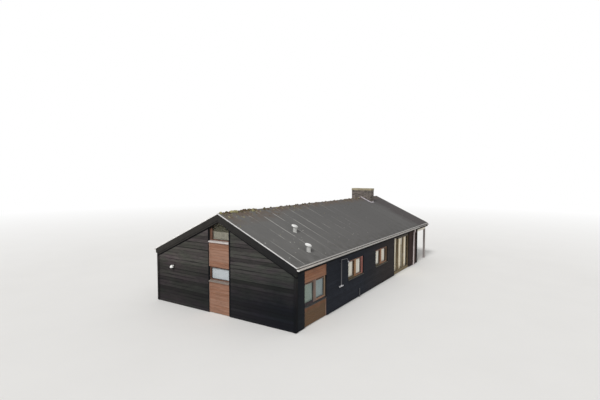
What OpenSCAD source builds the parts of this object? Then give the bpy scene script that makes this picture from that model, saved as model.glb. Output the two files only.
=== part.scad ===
// Single-storey timber beach house with a low gable roof that runs on over a covered terrace.
// X runs across the house, Y along it from the near gable to the terrace, Z up.
// The origin is on the ground at the centre of the enclosed rooms.

/* [House] */
// Width over the outer faces of the cladding
house_w = 7860; // [6550:10:9430]
// Length over the outer faces of the cladding
house_l = 15100; // [12600:10:18200]
// Height of the roof surface at the eave edge
eave_h = 2520; // [2300:10:3100]
// Level of the boxed-in eave's underside, measured down from the roof surface at the edge
eave_drop = 240; // [235:5:300]
// Slope of the roof in degrees
roof_pitch = 24.8; // [20:0.1:30]
// How far the eave stands out past the cladding
eave_overhang = 60; // [50:5:200]
// How far the near verge stands out past the cladding
verge_overhang = 50; // [48:1:90]
// Depth of the covered terrace from the far gable to the far verge
terrace_l = 2370; // [1900:10:2900]

/* [Walls and floor] */
// Thickness of a wall without its cladding
wall_t = 250; // [210:5:320]
// Thickness of the boarded skin
clad_t = 28; // [24:1:36]
// Gap under the boarded skin
clad_gap = 25; // [15:5:40]
// Height of the foundation slab above the ground
base_h = 60; // [50:5:120]
// How far the foundation stands back under the walls
base_inset = 40; // [40:5:60]
// Thickness of the floor on the slab
floor_t = 15; // [10:1:25]
// Width of a corner board
corner_w = 95; // [70:5:130]
// Thickness of a corner board
corner_t = 20; // [16:1:28]

/* [Openings] */
// Width of the side windows and of the side panel bays
window_w = 1750; // [1500:10:2100]
// Height of a side window
window_h = 895; // [745:5:1060]
// Drop from the eave's underside to the head of a side window
window_drop = 315; // [265:5:380]
// Distance from the near corner to the side panel bay
bay_start = 630; // [520:10:760]
// Height of the window in a side panel bay
bay_window_h = 910; // [760:10:1020]
// Drop from the eave's underside to the head of the bay window
bay_drop = 520; // [435:5:575]
// Distance from the terrace doors to the far corner
door_to_corner = 1660; // [1380:10:2000]
// Width of the terrace doors with their side light
door_w = 2740; // [2400:10:3000]
// Drop from the eave's underside to the head of the terrace doors
door_drop = 45; // [35:5:80]
// Width of the panelled bay in the near gable
slot_w = 1160; // [960:10:1400]
// Height of the lower panel in the near gable
slot_panel_h = 1400; // [1160:10:1480]
// Height of the low window in the near gable
slot_window_h = 590; // [490:10:640]
// Height of the upper window at the middle of the near gable
top_window_h = 825; // [690:5:870]

/* [Windows and doors] */
// How far panels stand back from the face of the cladding
panel_setback = 50; // [40:5:60]
// How far window and door frames stand back from the face of the cladding
frame_setback = 70; // [60:5:90]
// How far the gable windows stand back from the face of the cladding
slot_setback = 100; // [85:5:130]
// Depth of a window frame from outside to inside
frame_d = 120; // [100:5:140]
// Visible width of the fixed frame
frame_b = 24; // [20:1:36]
// Width of a sash's upright members in the side windows
sash_b = 60; // [50:1:75]
// Width of a sash's upright members in the near gable
gable_sash_b = 24; // [20:1:36]
// Height of a sash's level members
rail_b = 30; // [24:1:45]
// Width of the post at the left of the upper gable window
top_post_w = 85; // [70:5:105]
// How far a sash stands back from the fixed frame
sash_step = 8; // [6:1:16]
// Width of the fixed post between two sashes
mullion_b = 30; // [24:1:50]
// Thickness of a sealed pane
glass_t = 24; // [18:1:32]
// Depth of a pane behind the face of its sash
pane_in = 10; // [6:1:16]
// Thickness of the sheet that covers a sill
sill_t = 6; // [3:1:10]
// How far a sill stands out past the cladding
sill_nose = 16; // [10:1:30]
// How far a sill's outer edge turns down
sill_drip = 22; // [15:1:40]
// How far the upper gable window's sill turns down
top_sill_drip = 50; // [35:5:70]
// How far the sill of a side window falls
window_sill_h = 10; // [5:1:20]
// How far the sill of a side bay falls
bay_sill_h = 30; // [20:5:60]
// How far the lower sill of the near gable falls
slot_sill_h = 40; // [30:5:60]
// How far the upper sill of the near gable falls
top_sill_h = 20; // [15:5:40]
// Width of the side light's clear opening
side_light_w = 700; // [580:10:800]
// Width of the post between the side light and the doors
door_post = 60; // [50:5:80]
// Width of the door frame's jambs and head
door_jamb = 50; // [44:1:65]
// Height of the threshold above the slab
threshold_h = 25; // [20:1:40]
// Thickness of a door leaf
leaf_t = 68; // [56:1:78]
// Width of a door leaf's stiles and top rail
leaf_b = 85; // [75:1:108]
// Height of a door leaf's bottom rail
leaf_rail = 80; // [70:5:140]
// Gap round each door leaf
leaf_gap = 8; // [7:0.5:10]
// How much the meeting stiles narrow towards the room, so that a leaf swings past the other
leaf_bevel = 4; // [3.5:0.5:8]
// Radius of a hinge knuckle
knuckle_r = 8; // [7:0.5:10]
// Height of a hinge knuckle
knuckle_h = 45; // [36:1:55]
// Gap between the two knuckles of a hinge
knuckle_gap = 0.3; // [0.2:0.1:1]

/* [Roof] */
// Thickness of the roof deck across the slope
deck_t = 192; // [160:2:230]
// Thickness of the roofing felt across the slope
felt_t = 8; // [6:1:12]
// Depth of the outer verge board, measured upright
verge_outer_h = 300; // [250:5:320]
// Depth of the verge boards together, measured upright
verge_h = 380; // [340:5:420]
// Thickness of one verge board
verge_t = 22; // [18:1:23]
// Thickness of the boards that close the eave
eave_board_t = 25; // [18:1:32]
// Height of the metal strip on the edge of the roof
trim_h = 40; // [30:1:60]
// Thickness of the metal edge strip
trim_t = 4; // [2:0.5:6]
// How far the metal edge strip reaches over the felt
trim_lap = 25; // [20:1:40]
// Inner radius of the gutters
gutter_r = 60; // [50:1:72]
// Thickness of the gutter metal
gutter_t = 3; // [2:0.5:5]
// Thickness of the gutter brackets
bracket_t = 4; // [3:0.5:6]
// Width of a gutter bracket
bracket_w = 30; // [20:1:40]
// Number of brackets along each gutter
bracket_n = 20; // [12:1:26]
// Radius of the downpipes
pipe_r = 42; // [34:1:48]
// Distance of the downpipes from the far corner
pipe_to_corner = 900; // [750:10:1080]
// Gap between a downpipe and the cladding
pipe_gap = 22; // [15:1:30]
// How far the gutters stop short of the far verge
gutter_short = 150; // [0:10:300]
// Depth of the gutter's rim below the roof surface at the eave
gutter_drop = 65; // [60:1:80]

/* [Terrace] */
// Side of a terrace post
post_w = 120; // [100:5:140]
// Distance of the posts from the far verge
post_to_verge = 420; // [350:10:600]
// Height of the terrace beams
beam_h = 225; // [200:5:260]
// Width of the ridge beams
ridge_beam_w = 120; // [100:5:150]
// Height of the ridge beams
ridge_beam_h = 300; // [250:10:350]

/* [Chimney] */
// Width of the chimney across the ridge
chimney_w = 1490; // [1250:10:1780]
// Depth of the chimney along the ridge
chimney_d = 480; // [400:10:580]
// Height of the chimney above the ridge, with its slab
chimney_rise = 650; // [540:10:780]
// Thickness of the slab on the chimney
cap_t = 140; // [110:5:170]
// How far the slab stands out past the masonry
cap_nose = 15; // [10:5:40]
// Side of a flue
flue_w = 260; // [220:10:300]
// Distance between the middles of the two flues
flue_pitch = 700; // [600:10:820]
// Height of the metal upstand round the chimney
flashing_h = 70; // [50:5:120]

/* [Fittings] */
// Radius of a roof vent pipe
vent_r = 100; // [80:1:120]
// Height of a roof vent's pipe, square to the roof
vent_h = 220; // [180:5:265]
// Radius of a roof vent's lid
vent_lid_r = 150; // [130:1:180]
// Distance of the shower's riser from the near corner
shower_start = 3600; // [3000:10:3700]
// Height of the shower's riser
shower_h = 2205; // [2000:5:2220]
// Reach of the shower's arm along the wall
shower_reach = 690; // [500:10:750]
// Radius of the shower's riser
shower_r = 20; // [16:1:25]
// Distance of the wall lamp from the left corner
lamp_to_corner = 1100; // [900:10:1400]
// Height of the wall lamp's lower edge
lamp_z = 1720; // [1550:10:1900]
// Radius of the wall lamp's shade
lamp_r = 85; // [75:5:105]
// Height of the wall lamp's shade
lamp_h = 120; // [100:5:145]
// Distance of the short pipe at the foot of the right wall from the near corner
stub_start = 5690; // [5400:10:5800]
// Height of the short pipe at the foot of the right wall
stub_h = 420; // [300:10:500]

/* [Hidden] */
$fn = 48;

// Shapes overlap by this much where a cut runs clear of a face
clear = 10;
// Hairline under everything that lies on the slope, wider than the rounding of its corners
seat = 0.1;
slope = tan(roof_pitch);
// Upright thickness of something lying on the slope
function upright(t) = t / cos(roof_pitch);

wall_x = house_w / 2;
core_x = wall_x - clad_t;
room_x = core_x - wall_t;
eave_x = wall_x + eave_overhang;
near_y = -house_l / 2;
far_y = house_l / 2;
near_core_y = near_y + clad_t;
far_core_y = far_y - clad_t;
near_room_y = near_core_y + wall_t;
far_room_y = far_core_y - wall_t;
near_verge_y = near_y - verge_overhang;
far_verge_y = far_y + terrace_l;
soffit_z = eave_h - eave_drop;
ridge_z = eave_h + slope * eave_x;
fascia_x = eave_x - eave_board_t;

// Height of the felt's surface, the deck's top and underside, and what carries the deck, at x
function roof_z(x) = ridge_z - slope * abs(x);
function deck_z(x) = roof_z(x) - upright(felt_t) - seat;
function under_z(x) = deck_z(x) - upright(deck_t);
function bearing_z(x) = under_z(x) - seat;

floor_z = base_h + floor_t;
threshold_z = base_h + threshold_h;
door_head_z = soffit_z - door_drop;
window_head_z = soffit_z - window_drop;
window_z = window_head_z - window_h;
bay_head_z = soffit_z - bay_drop;
bay_window_z = bay_head_z - bay_window_h;
slot_window_z = slot_panel_h + slot_sill_h;
slot_window_top = slot_window_z + slot_window_h;
top_frame_z = ridge_z - verge_h - top_window_h;

// Places along the side walls, measured from the near corner
bay_end = bay_start + window_w;
door_start = house_l - door_to_corner - door_w;
door_end = door_start + door_w;
// The free wall between the bay and the doors is shared out between three piers
pier_shares = [0.436, 0.326, 0.238];
free_wall = door_start - bay_end - 2 * window_w;
window_1 = bay_end + pier_shares[0] * free_wall;
window_2 = window_1 + window_w + pier_shares[1] * free_wall;
window_3 = door_start + (door_w - window_w) / 2;
right_windows = [window_1, window_2];
left_windows = [window_1, window_2, window_3];
// Middle of the far gable's windows
far_window_x = (chimney_w / 2 + room_x) / 2;

door_leaf_z = threshold_z + leaf_gap;
door_leaf_h = door_head_z - door_jamb - leaf_gap - door_leaf_z;
side_light_start = door_start + door_jamb;
post_start = side_light_start + side_light_w;
leaves_start = post_start + door_post;
leaves_end = door_end - door_jamb;
leaf_w = (leaves_end - leaves_start - 3 * leaf_gap) / 2;
hinge_depth = frame_setback - knuckle_r;
hinge_foot = 180;
hinge_head = 270;
hinge_heights = [hinge_foot, door_leaf_h / 2, door_leaf_h - hinge_head];
flap_w = 34;
flap_t = 3;
handle_z = 1010;

post_y = far_verge_y - post_to_verge;
beam_x0 = core_x - post_w;
beam_z = bearing_z(core_x) - beam_h;
chimney_y1 = far_y;
chimney_y0 = chimney_y1 - chimney_d;
chimney_top = ridge_z + chimney_rise;
gutter_x = eave_x + bracket_t + gutter_t + gutter_r;
gutter_z = eave_h - gutter_drop;
gutter_out = gutter_r + gutter_t;
// Roof vents: distances from the eave's edge and from the near gable
vent_places = [[1940, 2765], [630, 1805]];
// Steps that round a lid or a shade off
round_steps = 8;
function step_angle(i) = 90 * i / round_steps;

black = [0.16, 0.16, 0.17];
brown = [0.50, 0.33, 0.24];
frame_brown = [0.45, 0.26, 0.17];
metal = [0.72, 0.72, 0.71];
felt_grey = [0.36, 0.36, 0.36];
timber = [0.78, 0.68, 0.52];
concrete = [0.68, 0.67, 0.64];
pane_blue = [0.6, 0.75, 0.78, 0.5];

// A box given by its two corners
module block(a, b) {
    translate(a) cube(b - a);
}

// An upright outline across the house, drawn in x and z, running from y0 to y1
module across(y0, y1, outline) {
    translate([0, y1, 0]) rotate([90, 0, 0]) linear_extrude(y1 - y0) polygon(outline);
}

module both_sides() {
    children();
    mirror([1, 0, 0]) children();
}

// Puts a window drawn from outside, x right and y inward, on the right wall or on a gable
module on_right(along, depth, z) {
    translate([wall_x - depth, near_y + along, z]) rotate([0, 0, 90]) children();
}

module on_near(x, depth, z) {
    translate([x, near_y + depth, z]) children();
}

module on_far(x, depth, z) {
    translate([x, far_y - depth, z]) rotate([0, 0, 180]) children();
}

// A piece of side wall that reaches up to the deck, between two distances from the near corner
module side_top(s0, s1, z0, x0 = room_x, x1 = core_x) {
    across(near_y + s0, near_y + s1, [[x0, z0], [x1, z0], [x1, bearing_z(x1)], [x0, bearing_z(x0)]]);
}

module side_box(s0, s1, z0, z1, x0 = room_x, x1 = core_x) {
    block([x0, near_y + s0, z0], [x1, near_y + s1, z1]);
}

// A piece of gable wall that reaches up to the deck, right of the ridge
module gable_top(x0, x1, z0, y0, y1) {
    across(y0, y1, [[x0, z0], [x1, z0], [x1, bearing_z(x1)], [x0, bearing_z(x0)]]);
}

// A band that follows the roof down to both eaves, upright depth from top to bottom below the felt
module roof_band(y0, y1, top, bottom, half) {
    across(y0, y1, [
        [0, ridge_z - top], [half, roof_z(half) - top], [half, roof_z(half) - bottom],
        [0, ridge_z - bottom], [-half, roof_z(half) - bottom], [-half, roof_z(half) - top]
    ]);
}

// Sash places across a window of n lights: start and width of each
function sashes(w, n) =
    let (s = (w - 2 * frame_b - (n - 1) * mullion_b) / n)
    [for (i = [0 : n - 1]) [frame_b + i * (s + mullion_b), s]];

module window_frame(w, h, n, stile = sash_b) {
    difference() {
        cube([w, frame_d, h]);
        for (s = sashes(w, n)) {
            translate([s[0], -clear, frame_b]) cube([s[1], clear + sash_step, h - 2 * frame_b]);
            translate([s[0] + stile, -clear, frame_b + rail_b])
                cube([s[1] - 2 * stile, frame_d + 2 * clear, h - 2 * (frame_b + rail_b)]);
        }
    }
}

module window_panes(w, h, n, stile = sash_b) {
    for (s = sashes(w, n))
        translate([s[0] + stile, sash_step + pane_in, frame_b + rail_b])
            cube([s[1] - 2 * stile, glass_t, h - 2 * (frame_b + rail_b)]);
}

// Sheet that falls outward from a frame's face, depth back from the cladding, and turns down
module sloped_sill(w, depth, fall, drip = sill_drip) {
    low = -fall * (depth + sill_nose) / depth;
    rotate([90, 0, 90]) linear_extrude(w) polygon([
        [depth, 0], [depth, sill_t], [-sill_nose, low + sill_t], [-sill_nose, low - drip],
        [-sill_nose + sill_t / 2, low - drip],
        [-sill_nose + sill_t / 2, low + fall * sill_t / 2 / depth]
    ]);
}

// Sill that lies on the wall below a window and laps over the cladding
module flat_sill(w, depth, fall) {
    rotate([90, 0, 90]) linear_extrude(w) polygon([
        [depth, 0], [depth, sill_t + fall], [-sill_nose, sill_t], [-sill_nose, -sill_drip],
        [0, -sill_drip], [0, 0]
    ]);
}

// A panel with its backing, drawn in depth and height, under a sill that falls outward.
// Where its foot is lower than z0, it hangs down in front of the foundation.
module panel_under_sill(w, depth, z0, z1, fall, foot) {
    slab = clad_t + base_inset;
    rotate([90, 0, 90]) linear_extrude(w) polygon(concat(
        [[panel_setback, foot]],
        foot < z0 ? [[slab, foot], [slab, z0]] : [],
        [[clad_t + wall_t, z0], [clad_t + wall_t, z1], [depth, z1]],
        [[panel_setback, z1 - fall * (depth - panel_setback) / depth]]
    ));
}

module foundation() {
    x = core_x - base_inset;
    color(concrete) difference() {
        block([-x, near_core_y + base_inset, 0], [x, far_core_y - base_inset, base_h]);
        chimney_block(-clear, base_h + clear);
    }
}

module floor_layer() {
    color(timber) difference() {
        block([-room_x, near_room_y, base_h], [room_x, far_room_y, floor_z]);
        chimney_block(base_h - clear, floor_z + clear);
    }
}

module near_gable_right() {
    color(black) gable_top(slot_w / 2, room_x, base_h, near_core_y, near_room_y);
}

module near_gable_left() {
    color(black) mirror([1, 0, 0])
        gable_top(slot_w / 2, room_x, base_h, near_core_y, near_room_y);
}

module far_gable_piers() {
    color(black) both_sides() {
        gable_top(chimney_w / 2, far_window_x - window_w / 2, base_h, far_room_y, far_core_y);
        gable_top(far_window_x + window_w / 2, room_x, base_h, far_room_y, far_core_y);
    }
}

module far_gable_infill() {
    x0 = far_window_x - window_w / 2;
    x1 = far_window_x + window_w / 2;
    color(black) both_sides() {
        block([x0, far_room_y, base_h], [x1, far_core_y, window_z]);
        gable_top(x0, x1, window_head_z, far_room_y, far_core_y);
    }
}

module side_piers(ends) {
    for (e = ends) side_top(e[0], e[1], base_h);
}

module side_infill(starts) {
    for (s = starts) {
        side_box(s, s + window_w, base_h, window_z);
        side_top(s, s + window_w, window_head_z);
    }
}

module right_wall_piers() {
    color(black) side_piers([
        [clad_t, bay_start], [bay_end, window_1], [window_1 + window_w, window_2],
        [window_2 + window_w, door_start], [door_end, house_l - clad_t]
    ]);
}

module right_wall_infill() {
    color(black) {
        side_infill(right_windows);
        side_top(door_start, door_end, door_head_z);
    }
}

module left_wall_piers() {
    color(black) mirror([1, 0, 0]) side_piers([
        [clad_t, bay_start], [bay_end, window_1], [window_1 + window_w, window_2],
        [window_2 + window_w, window_3], [window_3 + window_w, house_l - clad_t]
    ]);
}

module left_wall_infill() {
    color(black) mirror([1, 0, 0]) side_infill(left_windows);
}

// Brown panels below and above the windows of the two side bays and of the near gable
module bay_panels() {
    x = wall_x - panel_setback;
    color(brown) {
        both_sides() {
            on_right(bay_start, 0, 0) panel_under_sill(
                window_w, frame_setback, base_h, bay_window_z, bay_sill_h, clad_gap
            );
            side_top(bay_start, bay_end, bay_head_z, room_x, x);
        }
        on_near(-slot_w / 2, 0, 0) {
            panel_under_sill(slot_w, slot_setback, base_h, slot_window_z, slot_sill_h, clad_gap);
            panel_under_sill(
                slot_w, slot_setback, slot_window_top, top_frame_z, top_sill_h, slot_window_top
            );
        }
    }
}

// Outline of a gable's skin between the side walls' skins
function gable_skin() = [
    [-core_x, clad_gap], [core_x, clad_gap], [core_x, bearing_z(core_x)],
    [0, bearing_z(0)], [-core_x, bearing_z(core_x)]
];

module near_cladding() {
    color(black) difference() {
        across(near_y, near_core_y, gable_skin());
        block([-slot_w / 2, near_y - clear, 0], [slot_w / 2, near_core_y + clear, ridge_z]);
    }
}

module far_cladding() {
    color(black) difference() {
        across(far_core_y, far_y, gable_skin());
        chimney_block(0, ridge_z, clear);
        both_sides() block(
            [far_window_x - window_w / 2, far_core_y - clear, window_z],
            [far_window_x + window_w / 2, far_y + clear, window_head_z]
        );
    }
}

module side_cladding(starts, with_door) {
    x0 = core_x - clear;
    x1 = wall_x + clear;
    difference() {
        side_top(0, house_l, clad_gap, core_x, wall_x);
        side_box(bay_start, bay_end, 0, ridge_z, x0, x1);
        for (s = starts) side_box(s, s + window_w, window_z, window_head_z, x0, x1);
        if (with_door) side_box(door_start, door_end, 0, door_head_z, x0, x1);
    }
}

module right_cladding() {
    color(black) side_cladding(right_windows, true);
}

module left_cladding() {
    color(black) mirror([1, 0, 0]) side_cladding(left_windows, false);
}

module corner_boards() {
    y = near_y;
    color(black) both_sides() for (end = [0, 1]) mirror([0, end, 0]) {
        block([wall_x, y - corner_t, clad_gap], [wall_x + corner_t, y + corner_w, soffit_z]);
        // At the terrace the board ends under the edge beam
        block([wall_x - corner_w, y - corner_t, clad_gap], [wall_x, y, end == 0 ? soffit_z : beam_z]);
    }
}

// Outline of the upper gable window within side of the slot: its head follows the roof
function top_window_outline(side, post, low, drop) =
    let (x0 = side + post - slot_w / 2)
    let (x1 = slot_w / 2 - side)
    [
        [x0, top_frame_z + low], [x1, top_frame_z + low], [x1, roof_z(x1) - drop],
        [0, ridge_z - drop], [x0, roof_z(x0) - drop]
    ];

function top_pane_outline() =
    top_window_outline(frame_b + gable_sash_b, top_post_w, frame_b + rail_b, verge_h);

module near_window_frames() {
    y0 = near_y + slot_setback;
    y1 = y0 + frame_d;
    color(frame_brown) {
        on_near(-slot_w / 2, slot_setback, slot_window_z)
            window_frame(slot_w, slot_window_h, 1, gable_sash_b);
        difference() {
            across(y0, y1, top_window_outline(0, 0, 0, ridge_z - bearing_z(0)));
            across(
                y0 - clear, y0 + sash_step,
                top_window_outline(frame_b, top_post_w, frame_b, verge_h - rail_b)
            );
            across(y0 - clear, y1 + clear, top_pane_outline());
        }
    }
}

module far_window_frames() {
    color(frame_brown) for (x = [-far_window_x, far_window_x])
        on_far(x + window_w / 2, frame_setback, window_z) window_frame(window_w, window_h, 2);
}

module right_window_frames() {
    color(frame_brown) {
        on_right(bay_start, frame_setback, bay_window_z) window_frame(window_w, bay_window_h, 2);
        for (s = right_windows)
            on_right(s, frame_setback, window_z) window_frame(window_w, window_h, 2);
    }
}

module left_window_frames() {
    color(frame_brown) mirror([1, 0, 0]) {
        on_right(bay_start, frame_setback, bay_window_z) window_frame(window_w, bay_window_h, 2);
        for (s = left_windows)
            on_right(s, frame_setback, window_z) window_frame(window_w, window_h, 2);
    }
}

// Every fixed pane: the windows on all sides and the light beside the terrace doors
module window_glass() {
    y0 = near_y + slot_setback + sash_step + pane_in;
    color(pane_blue) {
        on_near(-slot_w / 2, slot_setback, slot_window_z)
            window_panes(slot_w, slot_window_h, 1, gable_sash_b);
        across(y0, y0 + glass_t, top_pane_outline());
        for (x = [-far_window_x, far_window_x])
            on_far(x + window_w / 2, frame_setback, window_z) window_panes(window_w, window_h, 2);
        both_sides() on_right(bay_start, frame_setback, bay_window_z)
            window_panes(window_w, bay_window_h, 2);
        for (s = right_windows)
            on_right(s, frame_setback, window_z) window_panes(window_w, window_h, 2);
        mirror([1, 0, 0]) for (s = left_windows)
            on_right(s, frame_setback, window_z) window_panes(window_w, window_h, 2);
        on_right(side_light_start, frame_setback + sash_step + pane_in, threshold_z + leaf_rail)
            cube([side_light_w, glass_t, door_head_z - door_jamb - threshold_z - leaf_rail]);
    }
}

module window_sills() {
    color(metal) {
        on_near(-slot_w / 2, 0, slot_window_z) sloped_sill(slot_w, slot_setback, slot_sill_h);
        on_near(-slot_w / 2, 0, top_frame_z)
            sloped_sill(slot_w, slot_setback, top_sill_h, top_sill_drip);
        both_sides() on_right(bay_start, 0, bay_window_z)
            sloped_sill(window_w, frame_setback, bay_sill_h);
        for (s = right_windows)
            on_right(s, 0, window_z) flat_sill(window_w, frame_setback, window_sill_h);
        mirror([1, 0, 0]) for (s = left_windows)
            on_right(s, 0, window_z) flat_sill(window_w, frame_setback, window_sill_h);
        for (x = [-far_window_x, far_window_x])
            on_far(x + window_w / 2, 0, window_z) flat_sill(window_w, frame_setback, window_sill_h);
    }
}

// Upright members of the terrace door frame, with the rail under the side light
module door_posts() {
    d = frame_setback;
    h = door_head_z - door_jamb - threshold_z;
    color(frame_brown) {
        on_right(door_start, d, threshold_z) {
            cube([door_jamb, frame_d, h]);
            translate([door_jamb + side_light_w, 0, 0]) cube([door_post, frame_d, h]);
            cube([door_jamb + side_light_w, frame_d, leaf_rail]);
        }
        on_right(leaves_end, d, threshold_z) cube([door_jamb, frame_d, h]);
        for (z = hinge_heights) {
            hinge(leaves_start + leaf_gap / 2, door_leaf_z + z, -1);
            hinge(leaves_end - leaf_gap / 2, door_leaf_z + z, 1);
        }
    }
}

// One half of a hinge: its knuckle on the pivot line and its flap on the wood beside it
module hinge(along, z, side) {
    on_right(along, hinge_depth, z) {
        cylinder(r = knuckle_r, h = knuckle_h);
        mirror([side < 0 ? 1 : 0, 0, 0])
            translate([0, knuckle_r - flap_t, 0]) cube([flap_w, flap_t, knuckle_h]);
    }
}

// Threshold with its apron, and head of the terrace door frame
module door_rails() {
    nose = 20;
    apron_t = clad_t + base_inset - frame_setback + nose;
    color(frame_brown) {
        on_right(door_start, frame_setback - nose, base_h)
            cube([door_w, frame_d + nose, threshold_h]);
        on_right(door_start, frame_setback - nose, clad_gap)
            cube([door_w, apron_t, base_h + threshold_h - clad_gap]);
        on_right(door_start, frame_setback, door_head_z - door_jamb)
            cube([door_w, frame_d, door_jamb]);
    }
}

module door_leaf(along, hinge_side) {
    z = door_leaf_z;
    near_cut = hinge_side < 0 ? 0 : leaf_bevel;
    far_cut = leaf_bevel - near_cut;
    on_right(along, frame_setback, z) difference() {
        linear_extrude(door_leaf_h)
            polygon([[0, 0], [leaf_w, 0], [leaf_w - far_cut, leaf_t], [near_cut, leaf_t]]);
        translate([leaf_b, -clear, leaf_rail])
            cube([leaf_w - 2 * leaf_b, leaf_t + 2 * clear, door_leaf_h - leaf_rail - leaf_b]);
    }
    pivot = hinge_side < 0 ? along - leaf_gap / 2 : along + leaf_w + leaf_gap / 2;
    for (h = hinge_heights) hinge(pivot, z + h + knuckle_h + knuckle_gap, -hinge_side);
}

module leaf_pane(along) {
    on_right(along + leaf_b, frame_setback + (leaf_t - glass_t) / 2, door_leaf_z + leaf_rail)
        cube([leaf_w - 2 * leaf_b, glass_t, door_leaf_h - leaf_rail - leaf_b]);
}

near_leaf = leaves_start + leaf_gap;
far_leaf = near_leaf + leaf_w + leaf_gap;

module near_door_leaf() {
    color(frame_brown) door_leaf(near_leaf, -1);
}

module far_door_leaf() {
    color(frame_brown) door_leaf(far_leaf, 1);
}

module near_door_glass() {
    color(pane_blue) leaf_pane(near_leaf);
}

module far_door_glass() {
    color(pane_blue) leaf_pane(far_leaf);
}

// Lever handle on both faces of the near leaf's meeting stile
module door_handle() {
    plate_w = 34;
    plate_h = 210;
    plate_t = 8;
    plate_share = 0.7;
    neck_r = 9;
    neck_l = 42;
    lever_l = 120;
    stile = near_leaf + leaf_w - leaf_b / 2;
    color(metal) for (face = [0, 1])
        on_right(stile, frame_setback + face * leaf_t, handle_z) mirror([0, face, 0]) {
            translate([-plate_w / 2, -plate_t, -plate_h * plate_share])
                cube([plate_w, plate_t, plate_h]);
            rotate([90, 0, 0]) cylinder(r = neck_r, h = neck_l);
            translate([0, -neck_l, 0]) rotate([0, -90, 0]) cylinder(r = neck_r, h = lever_l);
            translate([0, -neck_l, 0]) sphere(r = neck_r);
        }
}

// Its foot is cut level where it would reach below the top of the board under the eave
module roof_deck_right() {
    foot_z = max(under_z(fascia_x), soffit_z + eave_board_t);
    foot_x = fascia_x - (foot_z - under_z(fascia_x)) / slope;
    color(timber) difference() {
        across(near_y - verge_overhang + 2 * verge_t, far_verge_y - 2 * verge_t, concat(
            [[0, deck_z(0)], [fascia_x, deck_z(fascia_x)], [fascia_x, foot_z]],
            foot_x < fascia_x ? [[foot_x, foot_z]] : [],
            [[0, under_z(0)]]
        ));
        chimney_block(0, chimney_top);
    }
}

module roof_deck_left() {
    mirror([1, 0, 0]) roof_deck_right();
}

module roof_felt() {
    color(felt_grey) difference() {
        roof_band(near_verge_y, far_verge_y, 0, upright(felt_t), eave_x);
        chimney_block(0, chimney_top);
    }
}

// Two boards on each slope, the outer one over the upper part of the inner one
module verge_boards() {
    low = upright(felt_t) + seat;
    both_sides() for (b = [[0, verge_outer_h], [1, verge_h]]) {
        x1 = eave_x;
        // Leaves a joint between the boards of the two slopes
        x0 = 1;
        reach = (ridge_z - b[1] - soffit_z) / slope;
        y0 = near_verge_y + b[0] * verge_t;
        across(y0, y0 + verge_t, concat(
            [[x0, roof_z(x0) - low], [x1, roof_z(x1) - low]],
            [[x1, max(soffit_z, roof_z(x1) - b[1])]],
            reach < x1 ? [[reach, soffit_z]] : [],
            [[x0, roof_z(x0) - b[1]]]
        ));
    }
}

module near_verge_boards() {
    color(black) verge_boards();
}

module far_verge_boards() {
    color(black) translate([0, far_verge_y + near_verge_y, 0]) mirror([0, 1, 0]) verge_boards();
}

// Upright board behind the gutter, and the strip that closes the eave from below
module eave_boards() {
    top = deck_z(eave_x);
    color(black) both_sides() across(
        near_verge_y + 2 * verge_t, far_verge_y - 2 * verge_t, [
            [fascia_x, deck_z(fascia_x)], [eave_x, top], [eave_x, soffit_z], [wall_x, soffit_z],
            [wall_x, soffit_z + eave_board_t], [fascia_x, soffit_z + eave_board_t]
        ]
    );
}

// Light metal strip on both verges and along both eaves
module roof_edge_trim() {
    y0 = near_verge_y - trim_t;
    y1 = far_verge_y + trim_t;
    x = eave_x + trim_t;
    lap_x = eave_x - trim_lap;
    color(metal) {
        roof_band(y0, near_verge_y, -trim_t, trim_h, eave_x);
        roof_band(y0, near_verge_y + trim_lap, -trim_t, -seat, eave_x);
        roof_band(far_verge_y, y1, -trim_t, trim_h, eave_x);
        roof_band(far_verge_y - trim_lap, y1, -trim_t, -seat, eave_x);
        both_sides() across(y0, y1, [
            [lap_x, roof_z(lap_x) + seat], [eave_x, roof_z(eave_x) + seat],
            [eave_x, roof_z(eave_x) - trim_h], [x, roof_z(eave_x) - trim_h],
            [x, roof_z(x) + trim_t], [lap_x, roof_z(lap_x) + trim_t]
        ]);
    }
}

// Half-round gutter with closed ends, hung in brackets on the eave board
module gutter() {
    y0 = near_verge_y;
    l = far_verge_y - gutter_short - near_verge_y;
    translate([gutter_x, y0 + l, gutter_z]) rotate([90, 0, 0]) {
        difference() {
            cylinder(r = gutter_out, h = l);
            translate([0, 0, gutter_t]) cylinder(r = gutter_r, h = l - 2 * gutter_t);
            translate([-gutter_out - clear, 0, -clear])
                cube([2 * (gutter_out + clear), gutter_out + clear, l + 2 * clear]);
        }
    }
    pitch = (l - bracket_n * bracket_w) / bracket_n + bracket_w;
    for (i = [0 : bracket_n - 1])
        translate([0, y0 + (i + 0.5) * pitch - bracket_w / 2, 0]) gutter_bracket();
}

module gutter_bracket() {
    translate([gutter_x, bracket_w, gutter_z]) rotate([90, 0, 0]) difference() {
        cylinder(r = gutter_out + bracket_t, h = bracket_w);
        translate([0, 0, -clear]) cylinder(r = gutter_out, h = bracket_w + 2 * clear);
        translate([-gutter_out - clear, 0, -clear])
            cube([2 * (gutter_out + clear), gutter_out + clear, bracket_w + 2 * clear]);
    }
    block([eave_x, 0, gutter_z - gutter_r], [eave_x + bracket_t, bracket_w, gutter_z]);
}

module gutters() {
    color(metal) both_sides() gutter();
}

// Round pipe between two points
module rod(a, b, r) {
    v = b - a;
    translate(a) rotate([0, acos(v[2] / norm(v)), atan2(v[1], v[0])]) cylinder(r = r, h = norm(v));
}

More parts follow.
